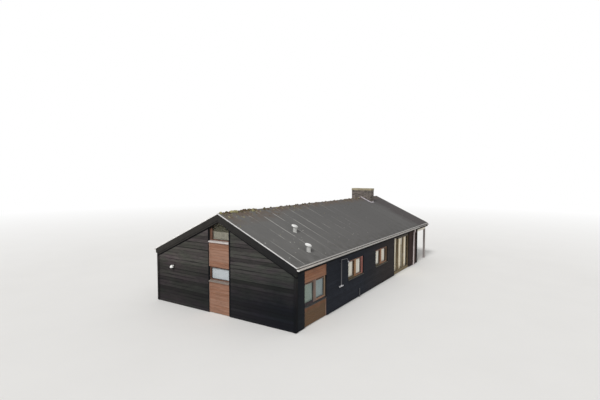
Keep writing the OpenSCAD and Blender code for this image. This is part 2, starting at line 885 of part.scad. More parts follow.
// Straps hold a downpipe to the wall near its foot and near the eave
module downpipe() {
    bend_h = 150;
    strap_end = 350;
    strap_h = 30;
    strap_t = 4;
    fitting = 3;
    y = far_y - pipe_to_corner;
    wall_pipe_x = wall_x + pipe_r + pipe_gap;
    top = [gutter_x, y, gutter_z - gutter_out];
    neck = [gutter_x, y, soffit_z];
    knee = [wall_pipe_x, y, soffit_z - bend_h];
    rod([top[0], y, neck[2]], top, pipe_r);
    translate(neck) sphere(r = pipe_r + fitting);
    rod(knee, neck, pipe_r);
    translate(knee) sphere(r = pipe_r + fitting);
    rod([knee[0], y, 0], knee, pipe_r);
    for (z = [strap_end, soffit_z - strap_end]) {
        translate([wall_pipe_x, y, z]) cylinder(r = pipe_r + strap_t, h = strap_h);
        block([wall_x, y - strap_h / 2, z], [wall_pipe_x, y + strap_h / 2, z + strap_h]);
    }
}

module downpipes() {
    color(metal) both_sides() downpipe();
}

// Ridge beam inside the rooms and on over the terrace, stopped against the chimney
module ridge_beams() {
    w = ridge_beam_w / 2;
    z0 = bearing_z(w) - ridge_beam_h;
    outline = [[-w, z0], [w, z0], [w, bearing_z(w)], [0, bearing_z(0)], [-w, bearing_z(w)]];
    color(timber) {
        across(near_y + slot_setback + frame_d, chimney_y0, outline);
        across(chimney_y1, far_verge_y - 2 * verge_t, outline);
    }
}

// Each edge beam ends over its post
module terrace_edge_beams() {
    color(timber) both_sides() across(far_y, post_y + post_w, [
        [beam_x0, beam_z], [core_x, beam_z],
        [core_x, bearing_z(core_x)], [beam_x0, bearing_z(beam_x0)]
    ]);
}

module terrace_tie_beam() {
    z1 = beam_z + beam_h;
    color(timber) block([-beam_x0, post_y, beam_z], [beam_x0, post_y + post_w, z1]);
}

// Corner posts under the edge beams and the short post under the ridge beam
module terrace_posts() {
    ridge_seat = bearing_z(ridge_beam_w / 2) - ridge_beam_h;
    color(timber) {
        both_sides() block([beam_x0, post_y, 0], [core_x, post_y + post_w, beam_z]);
        block([-post_w / 2, post_y, beam_z + beam_h], [post_w / 2, post_y + post_w, ridge_seat]);
    }
}

// The chimney's plan from z0 to z1, run on past its far face where a cut needs it
module chimney_block(z0, z1, past = 0) {
    block([-chimney_w / 2, chimney_y0, z0], [chimney_w / 2, chimney_y1 + past, z1]);
}

module flues(z0, z1) {
    y = (chimney_y0 + chimney_y1) / 2;
    for (x = [-flue_pitch / 2, flue_pitch / 2])
        block([x - flue_w / 2, y - flue_w / 2, z0], [x + flue_w / 2, y + flue_w / 2, z1]);
}

module chimney_stack() {
    color([0.35, 0.31, 0.28]) difference() {
        chimney_block(0, chimney_top - cap_t);
        flues(base_h + flue_w, chimney_top);
    }
}

module chimney_slab() {
    n = cap_nose;
    color([0.62, 0.57, 0.47]) difference() {
        block(
            [-chimney_w / 2 - n, chimney_y0 - n, chimney_top - cap_t],
            [chimney_w / 2 + n, chimney_y1 + n, chimney_top]
        );
        flues(0, chimney_top + clear);
    }
}

// Metal upstand round the chimney, stepped up from the roof's surface
module chimney_flashing() {
    foot = 30;
    x = chimney_w / 2;
    color(metal) {
        difference() {
            roof_band(chimney_y0 - trim_t, chimney_y1 + trim_t, -flashing_h, -seat, x + trim_t);
            chimney_block(0, chimney_top);
        }
        difference() {
            roof_band(chimney_y0 - foot, chimney_y1 + foot, -trim_t, -seat, x + foot);
            chimney_block(0, chimney_top);
        }
    }
}

// Upright pipe with a collar on the felt and a round lid that lies parallel to the roof
module roof_vent(to_eave, along) {
    x = eave_x - to_eave;
    collar = 18;
    lid_t = 45;
    lid_rim = 20;
    reach = 4 * vent_h;
    translate([x, near_y + along, roof_z(x) + seat]) {
        intersection() {
            translate([0, 0, -vent_h]) cylinder(r = vent_r, h = reach);
            rotate([0, roof_pitch, 0])
                translate([-reach / 2, -reach / 2, 0]) cube([reach, reach, vent_h + lid_rim / 2]);
        }
        rotate([0, roof_pitch, 0]) cylinder(r = vent_r + collar, h = trim_t);
        rotate([0, roof_pitch, 0]) translate([-vent_h * slope, 0, vent_h])
            rotate_extrude() polygon(concat([[0, 0], [vent_lid_r, 0]], [
                for (i = [0 : round_steps])
                    [vent_lid_r * cos(step_angle(i)), lid_rim + (lid_t - lid_rim) * sin(step_angle(i))]
            ]));
    }
}

module roof_vents() {
    color(metal) for (p = vent_places) roof_vent(p[0], p[1]);
}

// Outline of a half dome of radius r and height h
function dome(r, h) = [for (i = [0 : round_steps]) [r * cos(step_angle(i)), h * sin(step_angle(i))]];

// Domed shade, open below, on a short arm from a round wall plate
module wall_lamp() {
    plate_r = 30;
    plate_t = 16;
    arm_r = 9;
    arm_share = 0.6;
    shade_t = 3;
    reach = lamp_r + 20;
    arm_z = arm_share * lamp_h;
    arm_l = reach - lamp_r * cos(asin(arm_share)) + 2 * shade_t;
    color("white") translate([lamp_to_corner - wall_x, near_y, lamp_z]) {
        translate([0, 0, arm_z]) rotate([90, 0, 0]) cylinder(r = plate_r, h = plate_t);
        translate([0, 0, arm_z]) rotate([90, 0, 0]) cylinder(r = arm_r, h = arm_l);
        translate([0, -reach, 0]) rotate_extrude() difference() {
            polygon(concat([[0, 0]], dome(lamp_r, lamp_h)));
            translate([0, -shade_t])
                polygon(concat([[-shade_t, 0]], dome(lamp_r - shade_t, lamp_h), [[-shade_t, lamp_h]]));
        }
    }
}

// Riser with a mixer at its foot and a bent arm with a round head
module outdoor_shower() {
    stand_off = 76;
    foot_z = 1010;
    arm_fall = 40;
    hook_l = 130;
    head_z = 2000;
    head_r = 70;
    head_h = 60;
    arm_r = shower_r - 5;
    fitting = 3;
    mixer_r = 26;
    mixer_half = 170;
    inlet_r = 16;
    inlet_half = 75;
    stay_r = 10;
    stay_drop = 160;
    y = near_y + shower_start;
    x = wall_x + stand_off;
    top = [x, y, shower_h];
    bend = [x, y + shower_reach - hook_l, shower_h - arm_fall];
    head = [x, y + shower_reach, head_z];
    color(metal) {
        rod([x, y, foot_z], top, shower_r);
        translate(top) sphere(r = shower_r + fitting);
        rod(top, bend, arm_r);
        translate(bend) sphere(r = arm_r + fitting);
        rod(bend, head, arm_r);
        translate(head - [0, 0, head_h - 2 * arm_r]) cylinder(r1 = head_r, r2 = arm_r + fitting, h = head_h);
        rod([x, y - mixer_half, foot_z], [x, y + mixer_half, foot_z], mixer_r);
        for (s = [-inlet_half, inlet_half]) rod([wall_x, y + s, foot_z], [x, y + s, foot_z], inlet_r);
        rod([wall_x, y, shower_h - stay_drop], [x, y, shower_h - stay_drop], stay_r);
    }
}

// Short closed pipe that stands on the ground against the right wall
module stub_pipe() {
    r = 25;
    gap = 1;
    collar_h = 30;
    color(black) translate([wall_x + r + gap, near_y + stub_start, 0]) {
        cylinder(r = r, h = stub_h);
        translate([0, 0, stub_h - collar_h]) cylinder(r = r + gap, h = collar_h);
    }
}

foundation();
floor_layer();  // floor
near_gable_left();
near_gable_right();
far_gable_piers();
far_gable_infill();
right_wall_piers();
right_wall_infill();
left_wall_piers();
left_wall_infill();
bay_panels();
near_cladding();
far_cladding();
right_cladding();
left_cladding();
corner_boards();
near_window_frames();
far_window_frames();
right_window_frames();
left_window_frames();
window_glass();
window_sills();
door_posts();
door_rails();
near_door_leaf();
far_door_leaf();
near_door_glass();
far_door_glass();
door_handle();
roof_deck_right();
roof_deck_left();
roof_felt();
near_verge_boards();
far_verge_boards();
eave_boards();
roof_edge_trim();
gutters();
downpipes();
ridge_beams();
terrace_edge_beams();
terrace_tie_beam();
terrace_posts();
chimney_stack();
chimney_slab();
chimney_flashing();
roof_vents();
wall_lamp();
outdoor_shower();
stub_pipe();
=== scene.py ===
import math
import random
from functools import partialmethod

import bmesh
import bpy
from mathutils import Matrix, Vector


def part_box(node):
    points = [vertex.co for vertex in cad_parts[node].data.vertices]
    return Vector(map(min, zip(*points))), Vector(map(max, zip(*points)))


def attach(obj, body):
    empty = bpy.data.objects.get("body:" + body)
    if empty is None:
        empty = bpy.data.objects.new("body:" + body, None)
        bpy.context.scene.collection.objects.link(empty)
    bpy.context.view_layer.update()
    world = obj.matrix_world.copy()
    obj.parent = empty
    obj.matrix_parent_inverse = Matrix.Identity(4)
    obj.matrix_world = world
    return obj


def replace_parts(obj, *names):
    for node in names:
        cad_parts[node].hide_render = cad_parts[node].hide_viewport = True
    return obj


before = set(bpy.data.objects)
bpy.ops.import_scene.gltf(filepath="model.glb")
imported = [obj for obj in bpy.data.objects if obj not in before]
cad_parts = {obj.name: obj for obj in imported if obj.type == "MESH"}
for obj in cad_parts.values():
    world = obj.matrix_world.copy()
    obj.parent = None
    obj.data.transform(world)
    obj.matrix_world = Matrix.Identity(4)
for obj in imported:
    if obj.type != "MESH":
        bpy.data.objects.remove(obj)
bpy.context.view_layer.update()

# The photograph's camera, from its vanishing points
CAMERA_PLACE = Vector((12.248, -20.322, 6.0))
CAMERA_YAW = -0.568
CAMERA_PITCH = 0.0617
CAMERA_ROLL = 0.0017
CAMERA_LENS = 24.8
SENSOR_WIDE = 36.0
SEEN_TO = 500.0

# Lights and floor
SUN_STRENGTH = 2.1
SUN_SOFTNESS = math.radians(14)
SUN_FROM = Vector((0.1, -0.72, 0.68))
SKY_STRENGTH = 0.48
FLOOR_REACH = 240.0
FLOOR_FADE = (16.0, 60.0)

# Sizes are in metres, angles in radians; HAIR is the least gap between two pieces
HAIR = 0.001
ANY_TURN = (0, 6.28)

# Weatherboards: height and lap of a row, thickness at foot and head, steps and gap along the wall, then
# the boards' lengths, least sizes, wavy lower edges and tones
BOARD_ROW = 0.15
BOARD_LAP = 0.022
BOARD_BUTT = 0.026
BOARD_TIP = 0.011
BOARD_STEP = 0.42
BOARD_GAP = 0.003
BOARD_LENGTHS = (2.6, 4.8)
BOARD_SHORTEST = 0.9
BOARD_NARROWEST = 0.04
BOARD_LOWEST = 0.012
BOARD_WAVE = (-0.006, 0.003)
WAVE_POINTS = 12
TONE_SHIFT = 37.0
ROW_SHARE = 0.6
TONE_SPREAD = 0.12
LINING_BOARD = 0.12

# Widths of the boards down the left and right edge of the gable's slot
SLOT_TRIM = (0.03, 0.08)

# Roofing felt
FELT_STRIPS = (0.91, 0.82, 0.89, 0.77, 0.88, 0.77)
FELT_LAP = 0.09
FELT_FIRST = 0.65
FELT_THIN = 0.0039
FELT_RAISE = 1.02
FELT_STEP = 0.25
FELT_SWELL = 0.0006
FELT_SHORT = 0.006
FELT_PIECE = 0.02
FELT_PULL = (0.003, 0.009)
FELT_BENDS = 0.9
FELT_RIPPLES = 4.3
RIPPLE_PULL = 0.003
FAR_WAVE = 0.3
FAR_SHIFT = 17.0

# Moss: half widths and height of a clump on the ridge, beside it and elsewhere; share and height of its rings
RIDGE_CLUMP = (0.085, 0.12, 0.08)
SIDE_CLUMP = (0.065, 0.045, 0.03)
STRAY_CLUMP = (0.05, 0.05, 0.02)
CLUMP_RINGS = ((1.0, -0.15), (0.92, 0.35), (0.62, 0.8), (0.22, 1.0))
CLUMP_CORNERS = 7

# Moss on the ridge: rich over the first stretch, thin farther on
MOSS_CLEAR = 0.15
RICH_SHARE = 0.17
RICH_YELLOW = 0.55
THIN_YELLOW = 0.14
RICH_GAPS = (0.03, 0.13)
THIN_GAPS = (0.05, 0.22)
RIDGE_SIZES = (0.35, 1.0)
THIN_SIZE = 0.75
RIDGE_SPREAD = 0.06
YELLOW_TONES = (0.75, 1.0)
GREEN_TONES = (0.0, 0.35)

# Moss beside the ridge, crowded near the gable and the ridge line
SIDE_CLUMPS = 420
SIDE_FIRST = 0.2
SIDE_REACH = 0.95
SIDE_CROWD = 2.4
SIDE_FARTHEST = 1.1
SIDE_FALL = 4.2
SIDE_SIZES = (0.22, 0.62)
SIDE_YELLOW = 0.6
SIDE_YELLOW_TONES = (0.6, 1.0)
SIDE_GREEN_TONES = (0.0, 0.4)

# Moss strewn over the roof
STRAY_CLUMPS = 150
STRAY_EAVE = 0.15
STRAY_CLEAR = 0.1
STRAY_SIZES = (0.18, 0.42)

# Bricks, which stop a little under the deck and start again a little under the felt's top
BRICK_ROW = 0.066
BRICK_LENGTH = 0.24
BRICK_JOINT = 0.012
BRICK_PROUD = 0.0035
BRICK_DEEP = 0.108
BRICK_FOOT = 0.08
BRICK_SHORTEST = 0.03
BRICK_EDGE = 0.002
UNDER_DECK = 0.02
UNDER_FELT = 0.08

# Brown panels, with half the groove between two boards
PANEL_ROW = 0.118
PANEL_BOARD = 0.015
PANEL_CHAMFER = 0.005
PANEL_GROOVE = 0.0015
PANEL_FOOT = 0.004
PANEL_HEAD = 0.012
STRIP_WIDE = 0.022
STRIP_DEEP = 0.024
STRIP_TONES = (0.3, 0.9)

# What tells panes apart: a depth that no pane has, and a height that only doors and side light reach
PANE_DEEPEST = 0.1
DOOR_TALL = 1.5

# Beads of the windows, and the black strips round their frames that stand for the shadow there
GASKET_WIDE = 0.009
GASKET_DEEP = 0.004
WOOD_BEAD = 0.028
WOOD_BEAD_DEEP = 0.009
REVEAL = 0.02
REVEAL_DEEP = 0.01
REVEAL_FOOT = 0.03
SASH_STEP = 0.008

# Cloths and their rails
CLOTH_THICK = 0.0012
CLOTH_BACK = 0.03
CLOTH_IN = 0.006
UPPER_SPLIT = 3.545
BAY_REACH = 2.6
CURTAIN_X = 3.71
CURTAIN_DROP = 0.075
CURTAIN_GAP = 0.125
CURTAIN_FOOT = 0.02
CURTAIN_PAST = 0.02
CURTAIN_ROWS = 7
FOLD_COLUMNS = 8
FOLD_SIZES = (0.55, 1.0)
FOLD_LEAN = 0.4
WINDOW_FOLDS = (5, 0.012)
DOOR_FOLDS = (6, 0.018)
GABLE_CORNERS = 5
WINDOW_RAIL = 0.008
DOOR_RAIL = 0.011
RAIL_DROP = 0.012
DOORS = ("near_door", "far_door")

# Gutter's bracket and rolled edge, lamp's bulb
BRACKET = 0.004
BEAD = 0.006
BEAD_END = 0.003
BULB = 0.026
BULB_UP = 0.042
BULB_HOLDER = 0.014
HOLDER_SHORT = 0.004
HOLDER_SINK = 0.8


# Places read from the frame


def solid_points(node):
    """The points of each separate solid of a CAD node, nearest to the near gable first."""
    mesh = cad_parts[node].data
    keys = [tuple(round(c, 4) for c in v.co) for v in mesh.vertices]
    parent = {k: k for k in keys}

    def root(k):
        while parent[k] != k:
            parent[k] = parent[parent[k]]
            k = parent[k]
        return k

    for edge in mesh.edges:
        a, b = (root(keys[i]) for i in edge.vertices)
        parent[a] = b
    groups = {}
    for k in sorted(set(keys)):
        groups.setdefault(root(k), []).append(Vector(k))
    return sorted(groups.values(), key=lambda group: [box_of(group)[0][i] for i in (1, 0, 2)])


def box_of(points):
    low = Vector([min(p[i] for p in points) for i in range(3)])
    high = Vector([max(p[i] for p in points) for i in range(3)])
    return low, high


def boxes(node):
    return [box_of(points) for points in solid_points(node)]


felt_low, felt_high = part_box("roof_felt")
right_skin_low, right_skin_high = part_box("right_cladding")
near_skin_low, near_skin_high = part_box("near_cladding")
far_skin_low, far_skin_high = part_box("far_cladding")
stack_low, stack_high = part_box("chimney_stack")
room_low, room_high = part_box("floor")
door_low, door_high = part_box("door_rails")

EAVE_X = felt_high.x
RIDGE_Z = felt_high.z
FELT_RISE = felt_high.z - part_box("roof_deck_right")[1].z
EAVE_Z = felt_low.z + FELT_RISE
SLOPE = (RIDGE_Z - EAVE_Z) / EAVE_X
PITCH = math.atan(SLOPE)
NEAR_VERGE = felt_low.y
FAR_VERGE = felt_high.y
WALL_X = right_skin_high.x
CORE_X = right_skin_low.x
NEAR_Y = near_skin_low.y
NEAR_CORE_Y = near_skin_high.y
FAR_Y = far_skin_high.y
FAR_CORE_Y = far_skin_low.y
SKIN_Z = right_skin_low.z
SLOT_X, _, SLOT_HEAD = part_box("near_window_frames")[1]
SLOT_EDGES = ((-SLOT_X - SLOT_TRIM[0], -SLOT_X), (SLOT_X, SLOT_X + SLOT_TRIM[1]))
UNDER_RIDGE = RIDGE_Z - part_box("ridge_beams")[1].z
SOFFIT_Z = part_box("eave_boards")[0].z
GUTTER_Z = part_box("gutters")[1].z
DOOR_HEAD = door_high.z
DOOR_END = door_high.y
X, Y, Z = (Vector(axis) for axis in ((1, 0, 0), (0, 1, 0), (0, 0, 1)))


def heights_up(node):
    """Heights of a piece's points at the ridge line, carried there along the roof's slope."""
    return [v.co.z + SLOPE * abs(v.co.x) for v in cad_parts[node].data.vertices]


VERGE_FOOT = min(heights_up("near_verge_boards"))
TRIM_TOP = max(heights_up("roof_edge_trim"))


def strip_starts():
    """Where the strips of felt start, from the near verge on."""
    starts = [NEAR_VERGE, NEAR_VERGE + FELT_FIRST]
    while starts[-1] < FAR_VERGE - 1.0:
        starts.append(starts[-1] + FELT_STRIPS[(len(starts) - 2) % len(FELT_STRIPS)])
    return starts


def under_roof(x):
    """Height of the deck's underside at x."""
    return RIDGE_Z - UNDER_RIDGE - SLOPE * abs(x)


# Meshes


def placed(name, data):
    """An object in the scene for a mesh, a light or a camera."""
    made = bpy.data.objects.new(name, data)
    bpy.context.scene.collection.objects.link(made)
    return made


def circle(middle, across, up, radius, count):
    """Points round a middle, in the plane of across and up."""
    angles = [2 * math.pi * i / count for i in range(count)]
    return [middle + across * (radius * math.cos(a)) + up * (radius * math.sin(a)) for a in angles]


class Shell:
    """Collects the closed shapes of one visible piece, with a tone from 0 to 1 for each shape."""

    def __init__(self):
        self.points = []
        self.faces = []
        self.tones = []

    def add(self, points, faces, tone=0.5):
        start = len(self.points)
        self.points += [Vector(p) for p in points]
        self.faces += [[start + i for i in face] for face in faces]
        self.tones += [tone] * len(faces)

    def loft(self, rings, tone=0.5, loop=False):
        """Joins rings of as many points each into a tube with closed ends or, with loop, into a hoop."""
        n, count = len(rings[0]), len(rings)
        faces = []
        for r in range(count if loop else count - 1):
            s = (r + 1) % count
            for i in range(n):
                j = (i + 1) % n
                faces.append([r * n + i, r * n + j, s * n + j, s * n + i])
        if not loop:
            faces.append(list(range(n))[::-1])
            faces.append([(count - 1) * n + i for i in range(n)])
        self.add([p for ring in rings for p in ring], faces, tone)

    def box(self, low, high, tone=0.5):
        (x0, y0, z0), (x1, y1, z1) = low, high
        self.loft([[(x0, y0, z), (x1, y0, z), (x1, y1, z), (x0, y1, z)] for z in (z0, z1)], tone)

    def box_on(self, side, u0, u1, d0, d1, z0, z1, tone=0.5):
        """A box given along a wall, out from it and upward."""
        self.loft([
            [side.at(u, d0, z0), side.at(u, d1, z0), side.at(u, d1, z1), side.at(u, d0, z1)] for u in (u0, u1)
        ], tone)

    def rod(self, ends, across, up, radius, count=12):
        """A round bar between two ends, its section in the plane of across and up."""
        self.loft([circle(end, across, up, radius, count) for end in ends])

    def make(self, name, material, body="house", bevel=0.0, smooth=False, slot=None):
        mesh = bpy.data.meshes.new(name)
        mesh.from_pydata(self.points, [], self.faces)
        tone = mesh.attributes.new("tone", "FLOAT", "FACE")
        tone.data.foreach_set("value", self.tones)
        mesh.polygons.foreach_set("use_smooth", [smooth] * len(mesh.polygons))
        mesh.materials.append(material)
        piece = placed(name, mesh)
        outward(mesh)
        if bevel:
            edges = piece.modifiers.new("edges", "BEVEL")
            edges.width = bevel
            edges.segments = 1
            edges.limit_method = "ANGLE"
        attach(piece, body)
        return piece


def outward(mesh):
    """Turns every closed shape's faces to look outward."""
    work = bmesh.new()
    work.from_mesh(mesh)
    bmesh.ops.recalc_face_normals(work, faces=work.faces)
    work.to_mesh(mesh)
    work.free()


class Side:
    """A wall's face: where its start lies on the core, the way along it and the way out."""

    def __init__(self, start, along, out):
        self.start = Vector(start)
        self.along = along
        self.out = out

    def at(self, u, d, z):
        return self.start + self.along * u + self.out * d + Z * z

    def depth(self, point):
        """How far a point lies out from the core."""
        return (Vector(point) - self.start).dot(self.out)

    def span(self, low, high):
        """Start and end along the wall of a box."""
        return sorted((Vector(p) - self.start).dot(self.along) for p in (low, high))


NEAR = Side((0, NEAR_CORE_Y, 0), X, -Y)
FAR = Side((0, FAR_CORE_Y, 0), X, Y)
RIGHT = Side((CORE_X, 0, 0), Y, X)
LEFT = Side((-CORE_X, 0, 0), Y, -X)
SKIN = WALL_X - CORE_X


# Materials


# White light, which is also the tint that changes nothing, and the black of the shadows painted under the
# boards and under the verge
FULL = (1.0, 1.0, 1.0)
SHADOW = (0.004, 0.004, 0.005)


class Nodes:
    """A node tree, with short calls for the nodes that the lights and all materials use."""

    def __init__(self, tree):
        self.tree = tree

    def put(self, socket, value):
        """Joins a socket to another one, or sets its number, vector or colour (red, green, blue)."""
        if isinstance(value, bpy.types.NodeSocket):
            self.tree.links.new(value, socket)
        else:
            socket.default_value = (*value, 1.0) if socket.type == "RGBA" else value

    def node(self, kind, sockets=(), **settings):
        made = self.tree.nodes.new(kind)
        for name, value in settings.items():
            setattr(made, name, value)
        for name, value in dict(sockets).items():
            self.put(made.inputs[name], value)
        return made

    def math(self, how, *values):
        made = self.node("ShaderNodeMath", operation=how)
        for socket, value in zip(made.inputs, values):
            self.put(socket, value)
        return made.outputs[0]

    plus = partialmethod(math, "ADD")
    minus = partialmethod(math, "SUBTRACT")
    times = partialmethod(math, "MULTIPLY")
    over = partialmethod(math, "DIVIDE")
    absolute = partialmethod(math, "ABSOLUTE")
    floor = partialmethod(math, "FLOOR")
    larger = partialmethod(math, "MAXIMUM")
    below = partialmethod(math, "LESS_THAN")
    above = partialmethod(math, "GREATER_THAN")

    def near(self, value, middle, reach):
        return self.math("COMPARE", value, middle, reach)

    def mix_shaders(self, share, first, second, end):
        """Mixes two shaders and joins the mix to the output node called end."""
        made = self.node("ShaderNodeMixShader")
        for socket, value in zip(made.inputs, (share, first, second)):
            self.put(socket, value)
        self.put(self.tree.nodes[end].inputs["Surface"], made.outputs[0])


class Graph(Nodes):
    """A material's node tree, with the coordinates on the house."""

    def __init__(self, name):
        self.material = bpy.data.materials.new(name)
        self.material.use_nodes = True
        super().__init__(self.material.node_tree)
        self.shader = self.tree.nodes["Principled BSDF"]
        self.place = self.node("ShaderNodeTexCoord").outputs["Object"]
        self.x, self.y, self.z = self.node("ShaderNodeSeparateXYZ", {"Vector": self.place}).outputs

    def scaled(self, scale, vector=None):
        sockets = {"Vector": vector or self.place, "Scale": scale}
        return self.node("ShaderNodeMapping", sockets).outputs["Vector"]

    def noise(self, scale, place=None, detail=4.0, roughness=0.55):
        """Noise at a place, which is a vector or three numbers that stretch the coordinates."""
        vector = self.scaled(place) if isinstance(place, tuple) else place or self.place
        sockets = {"Vector": vector, "Scale": scale, "Detail": detail, "Roughness": roughness}
        return self.node("ShaderNodeTexNoise", sockets).outputs["Fac"]

    def cells(self, scale, place):
        """Distance to the middle of the nearest of many scattered cells."""
        return self.node("ShaderNodeTexVoronoi", {"Vector": place, "Scale": scale}).outputs["Distance"]

    def chance(self, dimensions, **number):
        """A random value from 0 to 1 that belongs to the number W or Vector."""
        return self.node("ShaderNodeTexWhiteNoise", number, noise_dimensions=dimensions).outputs["Value"]

    def seam(self, count):
        """Rises to 0.5 at each whole number, from 0 midway between two."""
        return self.absolute(self.minus(self.math("FRACT", count), 0.5))

    def wander(self, noise, reach):
        """Noise moved to lie about zero, times reach."""
        return self.times(self.minus(noise, 0.5), reach)

    def up_slope(self):
        """Height carried along the roof's slope to the ridge line."""
        return self.plus(self.z, self.times(self.absolute(self.x), SLOPE))

    def fit(self, value, low, high, to_low=0.0, to_high=1.0):
        sockets = {"Value": value, "From Min": low, "From Max": high, "To Min": to_low, "To Max": to_high}
        return self.node("ShaderNodeMapRange", sockets).outputs[0]

    def blend(self, share, a, b, how="MIX"):
        made = self.node("ShaderNodeMix", data_type="RGBA", blend_type=how)
        for index, value in ((0, share), (6, a), (7, b)):
            self.put(made.inputs[index], value)
        return made.outputs[2]

    def ramp(self, value, low, high, start, end, most=1.0):
        """Goes from the colour start to end as value goes from low to high, most of the way at most."""
        return self.blend(self.fit(value, low, high, 0.0, most), start, end)

    def tinted(self, colour, tint):
        return self.blend(1.0, colour, tint, "MULTIPLY")

    def join(self, x, y, z):
        return self.node("ShaderNodeCombineXYZ", {"X": x, "Y": y, "Z": z}).outputs[0]

    def tone(self):
        return self.node("ShaderNodeAttribute", attribute_name="tone").outputs["Fac"]

    def finish(self, colour, texture, rough, bump=None, relief=None, **uniform):
        """Sets the shader.

        Roughness goes from rough[0] to rough[1] over the texture. Bump is the strength and depth of
        the relief, which is the texture too if no other is given.
        """
        self.put(self.shader.inputs["Base Color"], colour)
        self.put(self.shader.inputs["Roughness"], self.fit(texture, 0.3, 0.7, *rough))
        if bump:
            sockets = {"Height": relief or texture, "Strength": bump[0], "Distance": bump[1]}
            self.put(self.shader.inputs["Normal"], self.node("ShaderNodeBump", sockets).outputs["Normal"])
        for name, value in uniform.items():
            self.shader.inputs[name.replace("_", " ")].default_value = value
        return self.material


GRAIN = {"x": (0.9, 14.0, 14.0), "y": (14.0, 0.9, 14.0), "z": (14.0, 14.0, 0.9)}


def grain_place(g, axis):
    """Coordinates stretched along the grain, moved by each board's tone so that no two match."""
    if axis == "slope":
        level = g.join(g.absolute(g.x), g.y, g.z)
        turned = g.node("ShaderNodeMapping", {"Vector": level, "Rotation": (0, -PITCH, 0)}).outputs[0]
        return g.scaled(GRAIN["x"], turned)
    moved = g.node("ShaderNodeVectorMath", operation="ADD")
    g.put(moved.inputs[0], g.place)
    g.put(moved.inputs[1], g.times(g.tone(), TONE_SHIFT))
    return g.scaled(GRAIN[axis], moved.outputs[0])


def gable_black(g):
    """Stain on the gables: grey and warm under the roof, blue-black at the foot and to the right, with a
    painted shadow line just under the verge boards.
    """
    low = g.ramp(g.x, -2.6, 3.2, (0.022, 0.0205, 0.02), (0.005, 0.006, 0.0085))
    high = g.ramp(g.x, -2.6, 3.2, (0.074, 0.067, 0.062), (0.048, 0.046, 0.044))
    base = g.ramp(g.plus(g.z, g.wander(g.noise(0.8, detail=3.0), 1.2)), 0.95, 2.55, low, high)
    cloud = g.noise(1.3, (0.6, 0.6, 2.0), detail=3.0)
    hue = g.ramp(cloud, 0.38, 0.62, (0.95, 1.05, 0.95), (1.07, 0.96, 1.06))
    # Painted shadow: a dark band on the wall just under the verge boards.
    verge_shadow = g.near(g.up_slope(), VERGE_FOOT - 0.028, 0.032)
    return g.blend(verge_shadow, g.tinted(base, hue), SHADOW)


def verge_black(g):
    """Stain on the verge boards: grey on the left slope, near black at the right end."""
    return g.ramp(g.x, -0.5, 3.2, (0.056, 0.052, 0.047), (0.024, 0.024, 0.025))


def side_black(g):
    """Stain on the side walls: blue-black, browner towards the terrace."""
    near = g.ramp(g.y, NEAR_Y, NEAR_Y + 2.4, (0.01, 0.012, 0.015), (0.018, 0.021, 0.029))
    far = g.ramp(g.y, FAR_Y - 1.9, FAR_Y - 1.6, (0.03, 0.026, 0.026), (0.042, 0.025, 0.021))
    return g.ramp(g.y, NEAR_Y + 6.0, NEAR_Y + 9.0, near, far)


def board_shadows(g):
    """Where the boards above shade a row: strong under some boards, weak under others, in patches."""
    row = g.over(g.minus(g.z, SKIN_Z), BOARD_ROW)
    strong = g.fit(g.chance("1D", W=g.floor(row)), 0.25, 0.85, 0.15, 1.0)
    under = g.times(g.fit(g.math("FRACT", row), 0.62, 0.86), strong)
    return g.times(under, g.fit(g.noise(0.9, (0.6, 0.6, 2.5), detail=3.0), 0.36, 0.58))


def black_wood(name, axis, stain, lines=0.0, shade=1.0, spread=0.43):
    """Black-stained rough boards, unlike each other by spread, with shadows as strong as lines."""
    g = Graph(name)
    place = grain_place(g, axis)
    grain = g.noise(3.0, place, detail=6.0, roughness=0.65)
    fine = g.noise(9.0, place, detail=3.0)
    dark, light = ([share * shade] * 3 for share in (1 - spread, 1 + spread))
    base = g.tinted(stain(g), g.blend(g.tone(), dark, light))
    grey = g.times(g.fit(g.noise(0.9, detail=3.0), 0.5, 0.75), g.fit(grain, 0.45, 0.7))
    base = g.blend(g.times(grey, 0.5), base, g.tinted(base, (1.9, 1.85, 1.8)))
    base = g.ramp(grain, 0.5, 0.3, base, (0.006, 0.006, 0.008), 0.7)
    if lines:
        base = g.blend(g.times(board_shadows(g), lines), base, SHADOW)
    return g.finish(base, fine, (0.7, 0.95), (0.55, 0.004), grain, Specular_IOR_Level=0.12)


def brown_wood(name, axis, dark, light, worn, foot=None, tint=None):
    """Stained brown boards with clear grain, worn paler in streaks.

    foot is the colour that they fade to below, and tint(g) gives a colour to multiply by at each place.
    """
    g = Graph(name)
    place = grain_place(g, axis)
    grain = g.noise(2.2, place, detail=7.0, roughness=0.6)
    base = g.ramp(grain, 0.32, 0.68, dark, light)
    base = g.ramp(g.tone(), 0.2, 1.0, base, worn, 0.35)
    base = g.ramp(g.noise(0.7, place, detail=2.0), 0.5, 0.66, base, worn, 0.45)
    base = g.ramp(g.noise(1.4, detail=5.0), 0.55, 0.75, base, (0.09, 0.06, 0.04), 0.35)
    if foot:
        height = g.plus(g.z, g.times(g.noise(1.2, (1.0, 3.0, 0.5)), 0.5))
        base = g.ramp(height, 1.15, 0.8, base, foot, 0.85)
    if tint:
        base = g.tinted(base, tint(g))
    return g.finish(base, grain, (0.45, 0.7), (0.35, 0.002), Specular_IOR_Level=0.25)


# Height and tint of head and foot: the bay window, then the others; the head tints are painted shade under
# what lies above the frames
RAIL_TINTS = (
    (0.07, (0.2, 0.17, 0.15), 0.095, (0.16, 0.2, 0.34)),
    (0.11, (0.62, 0.55, 0.58), 0.11, (0.42, 0.55, 0.45)),
)
# Tints of the right wall's windows, from the near one on
MULLION_TINTS = ((0.62, 0.8, 1.02), (1.0, 0.94, 0.66), (1.02, 0.92, 0.72))
JAMB_TINTS = ((1.0, 1.3, 1.35), (1.75, 1.32, 1.7), (0.98, 1.15, 1.1))


